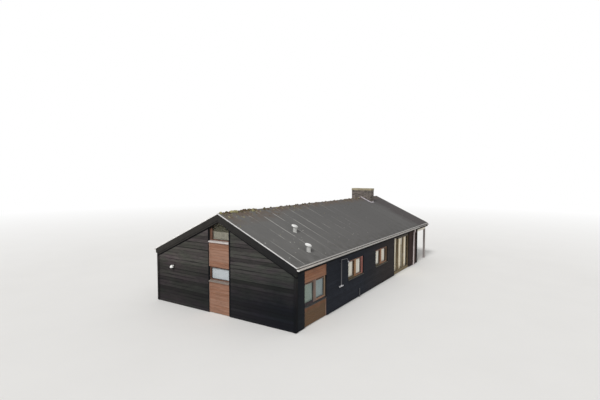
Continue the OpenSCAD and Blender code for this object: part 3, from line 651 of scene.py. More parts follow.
def frame_tint(g):
    """Dull mullions, a redder far jamb in the middle window, dark feet, and heads darkened as painted shade.
    """
    colour = FULL
    for k, (low, high) in enumerate(boxes("right_window_frames")):
        middle, half = (low.y + high.y) / 2, (high.y - low.y) / 2
        head_tall, head_tint, foot_tall, foot_tint = RAIL_TINTS[min(k, 1)]
        in_head = g.times(g.near(g.y, middle, half + 0.03), g.above(g.z, high.z - head_tall))
        in_foot = g.times(g.near(g.y, middle - half / 2, half / 2), g.below(g.z, low.z + foot_tall))
        # Painted shade along the head of the frame.
        colour = g.blend(in_head, colour, head_tint)
        colour = g.blend(in_foot, colour, foot_tint)
        colour = g.blend(g.near(g.y, middle, 0.12), colour, MULLION_TINTS[k])
        colour = g.blend(g.near(g.y, middle + half, 0.12), colour, JAMB_TINTS[k])
    return colour


def slot_head_shadow(g):
    """Painted shadow: dark along the head under the roof."""
    return g.ramp(g.up_slope(), SLOT_HEAD - 0.24, SLOT_HEAD - 0.23, FULL, (0.12, 0.14, 0.16))


def door_painted_shade(g):
    """Painted shade: dark along the head under the eave and down the far post."""
    tint = g.ramp(g.y, DOOR_END - 0.16, DOOR_END - 0.14, FULL, (0.55, 0.52, 0.56))
    return g.ramp(g.z, DOOR_HEAD - 0.145, DOOR_HEAD - 0.135, tint, (0.24, 0.24, 0.26))


def timber(name, axis, pale, deep):
    """Planed pale timber with knots."""
    g = Graph(name)
    place = grain_place(g, axis)
    grain = g.noise(2.6, place, detail=6.0)
    base = g.ramp(grain, 0.35, 0.65, deep, pale)
    base = g.ramp(g.cells(0.8, place), 0.12, 0.02, base, (0.16, 0.085, 0.035))
    return g.finish(base, grain, (0.5, 0.7), (0.2, 0.001))


def planked(name, pale, deep, wide, length):
    """Pale boards that run along the house side by side, with joints."""
    g = Graph(name)
    column = g.over(g.x, wide)
    shift = g.chance("1D", W=g.floor(column))
    run = g.over(g.plus(g.y, g.times(shift, length)), length)
    pick = g.chance("2D", Vector=g.join(g.floor(column), g.floor(run), 0.0))
    groove = g.larger(g.fit(g.seam(column), 0.475, 0.495), g.fit(g.seam(run), 0.4992, 0.4998))
    grain = g.noise(2.6, (11.0, 0.8, 11.0), detail=6.0)
    base = g.ramp(grain, 0.35, 0.65, deep, pale)
    base = g.blend(g.times(pick, 0.5), base, deep)
    base = g.blend(g.times(groove, 0.85), base, (0.03, 0.02, 0.012))
    return g.finish(base, grain, (0.35, 0.6), (0.6, 0.002), g.minus(g.times(grain, 0.15), groove))


def lined_wall():
    """Core of a wall: black outside, pale panelling towards the rooms."""
    g = Graph("wall_core")
    grain = g.noise(3.0, GRAIN["z"], detail=5.0)
    inside_x = g.below(g.absolute(g.x), room_high.x + HAIR)
    inside_y = g.near(g.y, (room_low.y + room_high.y) / 2, (room_high.y - room_low.y) / 2 + HAIR)
    black = g.ramp(grain, 0.3, 0.7, (0.012, 0.012, 0.014), (0.032, 0.032, 0.033))
    pale = g.ramp(grain, 0.35, 0.65, (0.5, 0.44, 0.34), (0.66, 0.6, 0.5))
    groove = g.seam(g.over(g.plus(g.x, g.y), LINING_BOARD))
    pale = g.ramp(groove, 0.47, 0.495, pale, (0.1, 0.07, 0.04), 0.7)
    base = g.blend(g.times(inside_x, inside_y), black, pale)
    return g.finish(base, grain, (0.55, 0.75), (0.3, 0.002), Specular_IOR_Level=0.15)


def seam_paleness(g, down):
    """How pale the felt is along its seams; down is the distance from the ridge."""
    moved = g.minus(g.plus(g.y, g.wander(g.noise(3.0, (1.0, 0.2, 1.0)), 0.03)), 0.01)
    gap = FAR_VERGE - NEAR_VERGE
    for start in strip_starts()[1:]:
        gap = g.math("MINIMUM", gap, g.absolute(g.minus(moved, start)))
    gap = g.times(gap, g.fit(down, 0.2, 3.0, 0.75, 1.2))
    worn = g.fit(g.noise(1.1, (1.0, 1.6, 1.0), detail=5.0), 0.4, 0.54, 0.1, 1.0)
    seam = g.times(g.times(g.fit(gap, 0.027, 0.01), worn), g.fit(g.y, 2.5, -4.5))
    first = g.below(g.y, NEAR_VERGE + FELT_FIRST + 0.4)
    upper = g.times(g.minus(1.0, first), g.fit(down, 3.2, 2.0, 0.25, 1.0))
    lower = g.times(first, g.fit(down, 2.2, 2.8, 0.1, 1.0))
    return g.times(seam, g.plus(upper, lower))


def roofing_felt():
    """Grey mineral felt: paler towards the near gable, partly its own tone and partly a painted sheen; pale
    along the seams, streaks down the slope, spots of lichen.
    """
    g = Graph("roofing_felt")
    down = g.absolute(g.x)
    patch = g.noise(0.55)
    grit = g.noise(420.0, detail=2.0)
    dirt = g.noise(2.6, detail=6.0)
    # Paler towards the near gable: partly the felt's own tone, partly a painted sheen.
    near = g.fit(g.y, 0.5, -5.0)
    base = g.blend(near, (0.108, 0.105, 0.103), (0.142, 0.139, 0.134))
    streak = g.noise(1.0, (0.7, 2.2, 0.7), detail=5.0)
    base = g.ramp(streak, 0.35, 0.65, base, (0.102, 0.1, 0.097), 0.35)
    base = g.ramp(g.tone(), 0.0, 1.0, base, (0.134, 0.131, 0.127), 0.3)
    base = g.ramp(patch, 0.5, 0.7, base, (0.09, 0.088, 0.085), 0.25)
    eave = g.times(g.fit(down, EAVE_X - 0.9, EAVE_X - 0.05), g.fit(dirt, 0.42, 0.62))
    base = g.blend(g.times(eave, 0.45), base, (0.06, 0.056, 0.05))
    terrace = g.plus(g.y, g.times(g.noise(1.2), 1.2))
    base = g.ramp(terrace, FAR_Y + 0.2, FAR_Y + 1.3, base, (0.066, 0.058, 0.058), 0.8)
    base = g.blend(seam_paleness(g, down), base, (0.44, 0.43, 0.41))
    spot = g.times(g.fit(g.cells(3.4, g.place), 0.125, 0.07), g.fit(g.noise(1.1, detail=3.0), 0.52, 0.58))
    base = g.blend(g.times(spot, g.fit(near, 0.0, 1.0, 0.35, 0.95)), base, (0.56, 0.55, 0.51))
    reach = g.fit(g.y, NEAR_VERGE + 3.2, NEAR_VERGE + 4.5, 1.15, 0.55)
    brown = g.times(g.fit(g.over(down, reach), 1.0, 0.2), g.fit(dirt, 0.36, 0.58))
    base = g.blend(g.times(brown, 0.75), base, (0.125, 0.086, 0.06))
    relief = g.plus(g.times(grit, 0.3), patch)
    return g.finish(base, grit, (0.8, 0.97), (0.35, 0.003), relief, Specular_IOR_Level=0.2)


def metal(name, colour, rough, metallic, dull=None):
    """Sheet metal with run marks: one colour that weathers to dull, or colour(g) by the place."""
    g = Graph(name)
    film = g.noise(14.0)
    stains = g.noise(2.0, (3.0, 3.0, 0.6), detail=5.0)
    if dull:
        base = g.ramp(stains, 0.35, 0.68, colour, dull)
        base = g.ramp(film, 0.5, 0.7, base, (0.2, 0.19, 0.17), 0.35)
    else:
        base = g.ramp(stains, 0.35, 0.68, colour(g), (0.11, 0.1, 0.095), 0.3)
    return g.finish(base, film, (rough, rough + 0.2), (0.08, 0.001), Metallic=metallic)


def sill_colour(g):
    """Bright under the upper gable window, grey-brown under the low one, black in the bays, else olive."""
    gable = g.blend(g.above(g.z, SOFFIT_Z), (0.24, 0.2, 0.17), (0.6, 0.55, 0.53))
    in_bay = g.below(g.y, NEAR_Y + BAY_REACH)
    side = g.blend(in_bay, (0.052, 0.047, 0.03), (0.012, 0.012, 0.014))
    return g.blend(g.below(g.absolute(g.x), SLOT_X + 0.01), side, gable)


def trim_colour(g):
    """Pale metal, under a film of grit where it laps over the felt at the eaves; on the near face of the
    right slope only its top is pale, and on the left slope it is made brighter as a painted highlight.
    """
    along = g.near(g.y, (NEAR_VERGE + FAR_VERGE) / 2, (FAR_VERGE - NEAR_VERGE) / 2 - 0.03)
    out = g.absolute(g.x)
    lap = g.times(g.above(out, EAVE_X - 0.08), g.below(out, EAVE_X + HAIR))
    upright = g.above(g.up_slope(), TRIM_TOP - 0.032)
    face = g.blend(upright, (0.16, 0.155, 0.15), (0.7, 0.69, 0.69))
    right = g.blend(g.below(g.y, NEAR_VERGE), (0.74, 0.72, 0.69), face)
    # Painted highlight: the trim on the left slope is made brighter.
    pale = g.blend(g.below(g.x, -0.01), right, (0.92, 0.9, 0.88))
    return g.blend(g.times(along, lap), pale, (0.15, 0.145, 0.14))


def shower_colour(g):
    """Dull riser and arm, brighter head and taps."""
    low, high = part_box("outdoor_shower")
    head = g.fit(g.y, high.y - 0.14, high.y - 0.1)
    taps = g.fit(g.z, low.z + 0.12, low.z + 0.08)
    return g.blend(g.larger(head, taps), (0.125, 0.125, 0.135), (0.62, 0.62, 0.64))


def vent_colour(g):
    """Bright lids on pipes, with painted shade down the left side of each pipe."""
    colour = (0.6, 0.6, 0.58)
    for low, high in boxes("roof_vents"):
        if high.z - low.z < 0.1:
            continue
        middle = (low + high) / 2
        here = g.near(g.y, middle.y, 0.3)
        # Painted shade down the left side of the pipe.
        left = g.times(here, g.fit(g.x, middle.x - 0.01, middle.x - 0.04))
        lid = g.times(here, g.fit(g.z, high.z - 0.085, high.z - 0.08))
        colour = g.blend(left, colour, (0.2, 0.2, 0.195))
        colour = g.blend(lid, colour, (0.95, 0.95, 0.93))
    return colour


def gutter_colour(g):
    """Dull warm grey; darker below, partly dirt and partly painted shade; darker over the terrace; pale at
    the near end as a painted highlight.
    """
    # Darker below: partly dirt inside the gutter, partly painted shade.
    side = g.ramp(g.z, GUTTER_Z - 0.045, GUTTER_Z - 0.03, (0.14, 0.13, 0.125), (0.47, 0.45, 0.42))
    side = g.ramp(g.y, NEAR_VERGE + 2.2, NEAR_VERGE + 1.2, side, (0.54, 0.5, 0.46))
    side = g.ramp(g.y, FAR_Y, FAR_Y + 0.1, side, (0.15, 0.14, 0.13))
    # Painted highlight on the near end.
    return g.ramp(g.y, NEAR_VERGE + 0.02, NEAR_VERGE + 0.01, side, (0.74, 0.73, 0.7))


def brick():
    """Fired bricks from near black to brown, sooty in patches."""
    g = Graph("chimney_bricks")
    rough = g.noise(22.0, detail=6.0, roughness=0.7)
    base = g.blend(g.tone(), (0.038, 0.032, 0.029), (0.19, 0.155, 0.138))
    base = g.ramp(g.noise(3.2, detail=3.0), 0.45, 0.6, base, (0.04, 0.036, 0.036), 0.75)
    base = g.ramp(rough, 0.55, 0.75, base, (0.04, 0.035, 0.03), 0.5)
    return g.finish(base, rough, (0.75, 0.95), (0.6, 0.003))


def stone(name, pale, deep, spot):
    """Concrete or mortar: cloudy, pitted and stained."""
    g = Graph(name)
    pits = g.noise(60.0, detail=3.0)
    base = g.ramp(g.noise(1.8, detail=6.0, roughness=0.6), 0.35, 0.65, deep, pale)
    base = g.ramp(g.noise(6.0, detail=5.0), 0.55, 0.7, base, spot, 0.6)
    return g.finish(base, pits, (0.7, 0.95), (0.4, 0.002))


def pane_glass(name, tint):
    """Sealed pane: mirrors the sky and lets the blinds behind it show."""
    g = Graph(name)
    base = g.ramp(g.noise(1.6), 0.3, 0.7, tint, [c * 1.25 for c in tint])
    return g.finish(base, g.noise(5.0, detail=3.0), (0.02, 0.07), Alpha=0.06, IOR=1.5)


def enamel():
    """White paint, baked on and a little dirty."""
    g = Graph("white_enamel")
    film = g.noise(12.0)
    base = g.ramp(film, 0.45, 0.75, (0.85, 0.85, 0.83), (0.62, 0.61, 0.57))
    return g.finish(base, film, (0.22, 0.4), Coat_Weight=0.3)


def woven(g, colour, painted_glow=0.0, **uniform):
    """Finish of a cloth; its last number is a painted glow, light given off by the cloth itself though no
    lamp is behind it.
    """
    thread = g.noise(900.0, (1.0, 1.0, 0.25), detail=2.0)
    if painted_glow:
        g.put(g.shader.inputs["Emission Color"], colour)
        g.put(g.shader.inputs["Emission Strength"], painted_glow)
    return g.finish(colour, thread, (0.8, 0.95), (0.2, 0.0005), **uniform)


def cloth(name, pale, fold, painted_glow=0.0):
    """Cloth of one colour, deeper in long upright streaks: painted shade, as in the creases of folds."""
    g = Graph(name)
    streak = g.noise(3.0, (4.0, 4.0, 0.3), detail=3.0)
    # The fold colour is painted shade in upright streaks.
    return woven(g, g.ramp(streak, 0.35, 0.65, fold, pale), painted_glow, Sheen_Weight=0.2)


def bay_cloth():
    """Blind in a bay: sea green at one end, bluish at the other."""
    g = Graph("bay_blind_cloth")
    colour = g.ramp(g.y, NEAR_Y + 0.9, NEAR_Y + 2.1, (0.35, 0.43, 0.36), (0.36, 0.43, 0.45))
    colour = g.ramp(g.noise(1.4, detail=3.0), 0.35, 0.65, colour, (0.26, 0.32, 0.29), 0.3)
    # The bay blind is given a faint painted glow.
    return woven(g, colour, 0.06)


def moss_green():
    """Moss, from brown through dark green to yellow by each clump's tone."""
    g = Graph("moss")
    clump = g.noise(26.0, detail=5.0)
    base = g.ramp(g.tone(), 0.0, 0.5, (0.085, 0.05, 0.036), (0.07, 0.068, 0.02))
    base = g.ramp(g.tone(), 0.6, 1.0, base, (0.46, 0.43, 0.22))
    base = g.ramp(clump, 0.4, 0.65, base, (0.11, 0.07, 0.04), 0.5)
    return g.finish(base, clump, (0.85, 1.0), (0.8, 0.01))


def rubber():
    """Black rubber of the gaskets; the same material paints the shadow strips round the window frames."""
    g = Graph("gasket")
    film = g.noise(30.0, detail=3.0)
    base = g.ramp(film, 0.3, 0.7, (0.012, 0.012, 0.012), (0.03, 0.03, 0.03))
    return g.finish(base, film, (0.5, 0.7))


BLACK = {
    "x": black_wood("black_boards_x", "x", gable_black, 0.9),
    "y": black_wood("black_boards_y", "y", side_black, 0.2, spread=0.16),
    "z": black_wood("black_boards_z", "z", gable_black),
    "slope": black_wood("black_boards_slope", "slope", verge_black),
}
EDGE_BLACK = black_wood("edge_boards_black", "z", side_black, shade=0.45)
PANEL = {
    "x": brown_wood(
        "brown_boards_x", "x",
        (0.165, 0.074, 0.042), (0.295, 0.15, 0.096), (0.345, 0.212, 0.155),
    ),
    "y": brown_wood(
        "brown_boards_y", "y",
        (0.195, 0.072, 0.032), (0.345, 0.148, 0.074), (0.37, 0.2, 0.12),
        foot=(0.098, 0.058, 0.024),
    ),
}
PANEL_STRIP = brown_wood(
    "panel_strips", "z", (0.22, 0.11, 0.07), (0.4, 0.25, 0.19), (0.46, 0.34, 0.29)
)
FRAME_WOOD = brown_wood(
    "stained_frames", "z",
    (0.24, 0.12, 0.07), (0.44, 0.25, 0.165), (0.48, 0.32, 0.24), tint=frame_tint,
)
GABLE_WOOD = brown_wood(
    "gable_frames", "z",
    (0.085, 0.04, 0.026), (0.18, 0.092, 0.06), (0.22, 0.13, 0.095), tint=slot_head_shadow,
)
DOOR_WOOD = brown_wood(
    "stained_doors", "z",
    (0.14, 0.105, 0.05), (0.28, 0.215, 0.12), (0.33, 0.27, 0.165), tint=door_painted_shade,
)
POST_WOOD = timber("terrace_posts_timber", "z", (0.38, 0.34, 0.33), (0.25, 0.22, 0.21))
CEILING = planked("ceiling_boards", (0.58, 0.46, 0.3), (0.4, 0.28, 0.16), 0.12, 3.6)
SLAB_STONE = stone("chimney_slab_stone", (0.42, 0.365, 0.245), (0.29, 0.25, 0.165), (0.11, 0.1, 0.07))
FLOOR = planked("floor_boards", (0.5, 0.37, 0.22), (0.3, 0.19, 0.1), 0.14, 2.4)
FELT_TOP = roofing_felt()
RIM_METAL = metal("gutter_rim", (0.88, 0.87, 0.84), 0.35, 0.1, (0.72, 0.71, 0.68))
STEEL = metal("brushed_steel", (0.68, 0.68, 0.68), 0.22, 0.9, (0.45, 0.45, 0.45))
BRICK = brick()
WHITE = enamel()
# The last number of this cloth is a painted glow: the cloth gives off light of its own.
BLIND = cloth("window_curtain_cloth", (0.93, 0.9, 0.79), (0.72, 0.68, 0.58), 0.17)
COOL_BLIND = cloth("low_window_cloth", (0.57, 0.61, 0.63), (0.54, 0.58, 0.61))
SEA_BLIND = bay_cloth()
# The last number of this cloth is a painted glow: the cloth gives off light of its own.
LINEN = cloth("linen_curtain", (0.93, 0.84, 0.67), (0.74, 0.65, 0.48), 0.24)
PALE_BLIND = cloth("lower_blind_cloth", (0.295, 0.275, 0.215), (0.25, 0.235, 0.185))
SAND_BLIND = cloth("upper_blind_cloth", (0.068, 0.06, 0.032), (0.054, 0.049, 0.026))
MOSS = moss_green()
RUBBER = rubber()


# CAD nodes that keep their shape


def dress(material, *names):
    """Gives CAD nodes their material."""
    for name in names:
        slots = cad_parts[name].data.materials
        slots.clear()
        slots.append(material)


dress(
    lined_wall(), "near_gable_left", "near_gable_right", "far_gable_piers", "far_gable_infill",
    "right_wall_piers", "right_wall_infill", "left_wall_piers", "left_wall_infill",
)
dress(BLACK["z"], "corner_boards")
dress(BLACK["slope"], "near_verge_boards", "far_verge_boards")
# The eave boards are the side walls' black, darkened as painted shade under the eave.
dress(black_wood("eave_boards_black", "y", side_black, shade=0.6), "eave_boards")
dress(PANEL["x"], "bay_panels")
dress(FRAME_WOOD, "far_window_frames", "right_window_frames", "left_window_frames")
dress(GABLE_WOOD, "near_window_frames")
dress(DOOR_WOOD, "door_posts", "door_rails", "near_door_leaf", "far_door_leaf")
dress(pane_glass("pane_glass", (0.03, 0.045, 0.045)), "window_glass")
dress(pane_glass("door_glass", (0.05, 0.05, 0.035)), "near_door_glass", "far_door_glass")
dress(metal("stub_pipe_metal", (0.06, 0.062, 0.068), 0.55, 0.1, (0.04, 0.042, 0.046)), "stub_pipe")
dress(metal("weathered_zinc", (0.62, 0.58, 0.62), 0.38, 0.3, (0.44, 0.41, 0.43)), "chimney_flashing")
dress(metal("downpipe_metal", (0.66, 0.58, 0.57), 0.5, 0.05, (0.5, 0.43, 0.43)), "downpipes")
dress(metal("vent_metal", vent_colour, 0.45, 0.05), "roof_vents")
dress(metal("sill_metal", sill_colour, 0.45, 0.2), "window_sills")
dress(metal("gutter_metal", gutter_colour, 0.5, 0.2), "gutters")
dress(metal("edge_trim", trim_colour, 0.5, 0.1), "roof_edge_trim")
dress(metal("shower_metal", shower_colour, 0.35, 0.3), "outdoor_shower")
dress(STEEL, "door_handle")
dress(WHITE, "wall_lamp")
dress(CEILING, "roof_deck_right", "roof_deck_left")
dress(FLOOR, "floor")
dress(stone("concrete", (0.5, 0.48, 0.44), (0.34, 0.33, 0.3), (0.18, 0.17, 0.15)), "foundation")
dress(stone("mortar", (0.36, 0.33, 0.28), (0.24, 0.215, 0.18), (0.12, 0.11, 0.09)), "chimney_stack")
dress(SLAB_STONE, "chimney_slab")
dress(timber("beam_timber", "y", (0.6, 0.53, 0.4), (0.4, 0.32, 0.21)), "ridge_beams")
dress(timber("edge_beam_timber", "y", (0.88, 0.84, 0.72), (0.68, 0.63, 0.52)), "terrace_edge_beams")
dress(POST_WOOD, "terrace_posts", "terrace_tie_beam")


# Lapped boards


def board(shell, side, ends, low, high, row_low, wave, tone):
    """One board from low to high; ends gives where it starts and stops at a height."""
    fall = (BOARD_BUTT - BOARD_TIP) / (BOARD_ROW + BOARD_LAP)
    whole = low == row_low

    def depth(z):
        return BOARD_BUTT - fall * (z - row_low)

    outline = [(depth(low), low), (depth(high), high), (0.0, high)]
    if whole:
        rebate = BOARD_TIP + fall * BOARD_LAP + HAIR
        head = low + BOARD_LAP + 2 * HAIR
        outline += [(0.0, head), (rebate, head), (rebate, low)]
    else:
        outline += [(0.0, low)]
    start, stop = ends(low)
    steps = max(1, round((stop - start) / BOARD_STEP))
    rings = []
    for i in range(steps + 1):
        drop = wave[i % len(wave)] if whole else 0.0
        ring = []
        for d, z in outline:
            a, b = ends(z)
            ring.append(side.at(a + (b - a) * i / steps, d, z))
        ring[0] += Z * drop
        rings.append(ring)
    shell.loft(rings, tone)


def free_parts(low, high, start, stop, holes):
    """The stretches of a row beside its openings, with the heights that are free there."""
    cuts = sorted({start, stop, *[min(max(u, start), stop) for h in holes for u in h[:2]]})
    for a, b in zip(cuts, cuts[1:]):
        middle = (a + b) / 2
        free = [(low, high)]
        for foot, head in (h[2:] for h in holes if h[0] < middle < h[1]):
            parts = [part for p, q in free for part in ((p, min(q, foot)), (max(p, head), q))]
            free = [(p, q) for p, q in parts if q - p > BOARD_LOWEST]
        for p, q in free:
            yield a, b, p, q


def weatherboards(wall, side, start, stop, holes, seed, limit=None):
    """Rows of lapped boards from start to stop; limit(z) narrows a row under a sloping roof."""
    rng = random.Random(seed)
    shell = Shell()
    top = RIDGE_Z - UNDER_RIDGE if limit else under_roof(WALL_X)
    row_low = SKIN_Z
    while row_low < top:
        row_high = min(row_low + BOARD_ROW + BOARD_LAP, top)
        row_tone = rng.random()
        for a, b, low, high in free_parts(row_low, row_high, start, stop, holes):
            at = a
            while at < b - HAIR:
                length = rng.uniform(*BOARD_LENGTHS)
                end = b if b - at - length < BOARD_SHORTEST else at + length
                wave = [rng.uniform(*BOARD_WAVE) for i in range(WAVE_POINTS)]
                tone = ROW_SHARE * row_tone + (1 - ROW_SHARE) * rng.random() + rng.gauss(0, TONE_SPREAD)
                tone = min(1.0, max(0.0, tone))
                first = at + (BOARD_GAP if at > a else 0.0)

                def ends(z, p=first, q=end):
                    left, right = limit(z) if limit else (p, q)
                    return min(max(p, left), right), max(min(q, right), left)

                x0, x1 = ends(low)
                if x1 - x0 > BOARD_NARROWEST:
                    board(shell, side, ends, low, high, row_low, wave, tone)
                at = end
        row_low += BOARD_ROW
    piece = shell.make(f"{wall}_boards", BLACK["x" if side.along == X else "y"], slot="black_boards")
    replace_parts(piece, f"{wall}_cladding")


def gable_limit(z):
    """Where a gable's row under the roof starts and stops at height z."""
    reach = min(CORE_X, max(0.0, (RIDGE_Z - UNDER_RIDGE - z) / SLOPE))
    return -reach, reach


def openings(side, *nodes):
    """Openings along a wall, as start, stop, foot and head, from the frames that fill them."""
    return [(*side.span(low, high), low.z, high.z) for node in nodes for low, high in boxes(node)]


def wall_boards():
    """The four walls' boards, left out at windows, doors, bays, chimney and slot."""
    gable = (-CORE_X, CORE_X)
    slot = (SLOT_EDGES[0][0], SLOT_EDGES[1][1], 0.0, RIDGE_Z)
    stack = (stack_low.x, stack_high.x, 0.0, RIDGE_Z)
    far_holes = [stack, *openings(FAR, "far_window_frames")]
    weatherboards("near", NEAR, *gable, [slot], 11, gable_limit)
    weatherboards("far", FAR, *gable, far_holes, 12, gable_limit)
    bays = [
        (*RIGHT.span(low, high), 0.0, RIDGE_Z)
        for low, high in boxes("bay_panels") if low.x > WALL_X / 2 and low.z < 1
    ]
    door = (*RIGHT.span(door_low, door_high), 0.0, DOOR_HEAD)
    right_holes = bays + openings(RIGHT, "right_window_frames") + [door]
    left_holes = bays + openings(LEFT, "left_window_frames")
    weatherboards("right", RIGHT, NEAR_Y, FAR_Y, right_holes, 13)
    weatherboards("left", LEFT, NEAR_Y, FAR_Y, left_holes, 14)


def slot_edge_boards():
    """Black upright boards that end the gable's boarding beside the slot."""
    shell = Shell()
    for edge in SLOT_EDGES:
        shell.loft([
            [NEAR.at(u, 0, SKIN_Z), NEAR.at(u, SKIN, SKIN_Z), NEAR.at(u, SKIN, top), NEAR.at(u, 0, top)]
            for u, top in zip(edge, map(under_roof, edge))
        ])
    shell.make("slot_edge_boards", EDGE_BLACK, slot="black_boards")


# Camera, lights and floor


def make_camera():
    data = bpy.data.cameras.new("camera")
    data.lens = CAMERA_LENS
    data.sensor_width = SENSOR_WIDE
    data.clip_end = SEEN_TO
    camera = placed("camera", data)
    turn = Matrix.Rotation(-CAMERA_YAW, 4, "Z")
    tilt = Matrix.Rotation(math.pi / 2 - CAMERA_PITCH, 4, "X")
    roll = Matrix.Rotation(CAMERA_ROLL, 4, "Z")
    camera.matrix_world = Matrix.Translation(CAMERA_PLACE) @ turn @ tilt @ roll
    bpy.context.scene.camera = camera


def make_lights():
    """A soft high sun before the near gable and an even sky, white in view, in mirrors and in glass."""
    sun = bpy.data.lights.new("key", "SUN")
    sun.energy = SUN_STRENGTH
    sun.angle = SUN_SOFTNESS
    placed("key", sun).rotation_euler = SUN_FROM.to_track_quat("Z", "Y").to_euler()
    world = bpy.data.worlds.new("studio")
    bpy.context.scene.world = world
    world.use_nodes = True
    g = Nodes(world.node_tree)
    light = g.tree.nodes["Background"]
    g.put(light.inputs["Color"], FULL)
    g.put(light.inputs["Strength"], SKY_STRENGTH)
    seen = g.node("ShaderNodeBackground", {"Color": FULL, "Strength": 1.0})
    ray = g.node("ShaderNodeLightPath").outputs
    either = g.larger(ray["Is Camera Ray"], ray["Is Glossy Ray"])
    share = g.larger(either, ray["Is Transmission Ray"])
    g.mix_shaders(share, light.outputs[0], seen.outputs[0], "World Output")


def make_floor():
    """Pale floor that fades to white far from the house."""
    g = Graph("studio_floor")
    cloud = g.noise(0.4)
    g.finish(g.blend(cloud, (0.8, 0.79, 0.77), (0.84, 0.83, 0.81)), cloud, (0.9, 0.9))
    white = g.node("ShaderNodeEmission", {"Color": FULL, "Strength": 1.0})
    seen = g.node("ShaderNodeLightPath").outputs["Is Camera Ray"]
    far = g.math("SQRT", g.plus(g.times(g.x, g.x), g.times(g.y, g.y)))
    share = g.times(g.fit(far, *FLOOR_FADE), seen)
    g.mix_shaders(share, g.shader.outputs[0], white.outputs[0], "Material Output")
    mesh = bpy.data.meshes.new("studio_floor")
    corners = [(x * FLOOR_REACH, y * FLOOR_REACH, 0) for x, y in ((-1, -1), (1, -1), (1, 1), (-1, 1))]
    mesh.from_pydata(corners, [], [(0, 1, 2, 3)])
    mesh.materials.append(g.material)
    placed("studio_floor", mesh)


# Brown panels


def groove_board(shell, side, u0, u1, d0, d1, z0, z1, tone):
    """A level board with its outer edges cut off, so that a groove shows between two."""
    c = PANEL_CHAMFER
    outline = [(d0, z0), (d1 - c, z0), (d1, z0 + c), (d1, z1 - c), (d1 - c, z1), (d0, z1)]
    shell.loft([[side.at(u, d, z) for d, z in outline] for u in (u0, u1)], tone)


def side_of(low, high):
    if max(abs(low.x), abs(high.x)) < WALL_X / 2:
        return NEAR
    return RIGHT if low.x > 0 else LEFT


def panel_boards():
    """Boards over the brown panels, with an upright strip down each edge."""
    rng = random.Random(21)
    shells = {"x": Shell(), "y": Shell()}
    strips = Shell()
    for points in solid_points("bay_panels"):
        low, high = box_of(points)
        side = side_of(low, high)
        u0, u1 = side.span(low, high)
        u0, u1 = u0 + HAIR, u1 - HAIR
        face = max(side.depth(p) for p in points)
        heights = [p.z for p in points if side.depth(p) > face - HAIR]
        foot, head = min(heights) + PANEL_FOOT, max(heights) - PANEL_HEAD
        for u in (u0, u1 - STRIP_WIDE):
            tone = rng.uniform(*STRIP_TONES)
            strips.box_on(side, u, u + STRIP_WIDE, face, face + STRIP_DEEP, foot, head, tone)
        rows = max(1, round((head - foot) / PANEL_ROW))
        pitch = (head - foot) / rows
        shell = shells["x" if side is NEAR else "y"]
        ends = (u0 + STRIP_WIDE, u1 - STRIP_WIDE)
        for i in range(rows):
            z0, z1 = foot + i * pitch + PANEL_GROOVE, foot + (i + 1) * pitch - PANEL_GROOVE
            groove_board(shell, side, *ends, face, face + PANEL_BOARD, z0, z1, rng.random())
    for axis, shell in shells.items():
        shell.make(f"panel_boards_{axis}", PANEL[axis], slot="brown_boards")
    strips.make("panel_edge_strips", PANEL_STRIP, slot="brown_boards")


# Roof covering


def felt_strip(shell, x_low, x_high, y_low, y_high, lapped, edge, tone):
    """One strip of felt across the roof, its near edge raised over the strip before it."""
    count = max(2, round((x_high - x_low) / FELT_STEP))
    stations = [x_low + (x_high - x_low) * i / count for i in range(count + 1)]
    if x_low < 0 < x_high:
        stations[min(range(len(stations)), key=lambda i: abs(stations[i]))] = 0.0
    lift = FELT_THIN * FELT_RAISE if lapped else 0.0
    up = 1 / math.cos(PITCH)
    rings = []
    for x in stations:
        base = RIDGE_Z - FELT_RISE - SLOPE * abs(x)
        near = y_low + (edge(x) if lapped else 0.0)
        far = y_high + (FAR_WAVE * edge(x + FAR_SHIFT) if y_high < FAR_VERGE - FELT_PIECE else 0.0)
        profile = [
            (near, lift), (y_low + FELT_LAP, 0.0), (far, 0.0), (far, FELT_THIN),
            (y_low + FELT_LAP, FELT_THIN + FELT_SWELL), (near, lift + FELT_THIN),
        ]
        rings.append([(x, y, base + h * up) for y, h in profile])
    shell.loft(rings, tone)


def roof_strips():
    """Felt laid in strips across the ridge, each one lapped over the one before."""
    rng = random.Random(31)
    shell = Shell()
    starts = strip_starts()
    stops = [min(start + FELT_LAP - FELT_SHORT, FAR_VERGE) for start in starts[1:]] + [FAR_VERGE]
    for start, end in zip(starts, stops):
        phase = rng.uniform(*ANY_TURN)
        pull = rng.uniform(*FELT_PULL)

        def edge(x, phase=phase, pull=pull):
            ripple = RIPPLE_PULL * math.sin(FELT_RIPPLES * x + 2 * phase)
            return pull * math.sin(FELT_BENDS * x + phase) + ripple

        tone = rng.random()
        first, last = start + FELT_PIECE, end - FELT_PIECE
        cuts = [start, *(c for c in (stack_low.y, stack_high.y) if first < c < last), end]
        for a, b in zip(cuts, cuts[1:]):
            halves = [(-EAVE_X, EAVE_X)]
            if stack_low.y - FELT_PIECE / 2 < (a + b) / 2 < stack_high.y + FELT_PIECE / 2:
                halves = [(-EAVE_X, stack_low.x - HAIR), (stack_high.x + HAIR, EAVE_X)]
            for x_low, x_high in halves:
                felt_strip(shell, x_low, x_high, a, b, a == start > starts[0], edge, tone)
    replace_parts(shell.make("felt_strips", FELT_TOP, slot="felt"), "roof_felt")


def lump(shell, x, y, clump, size, tone, turn):
    """A low rounded clump that sits on the roof, size times as large as clump's half widths and height."""
    wide, long, tall = (size * c for c in clump)
    rings = []
    for share, height in CLUMP_RINGS:
        ring = []
        for i in range(CLUMP_CORNERS):
            angle = turn + 2 * math.pi * i / CLUMP_CORNERS
            px = x + wide * share * math.cos(angle)
            py = y + long * share * math.sin(angle)
            ring.append((px, py, RIDGE_Z - SLOPE * abs(px) + tall * height - FELT_THIN))
        rings.append(ring)
    shell.loft(rings, tone)


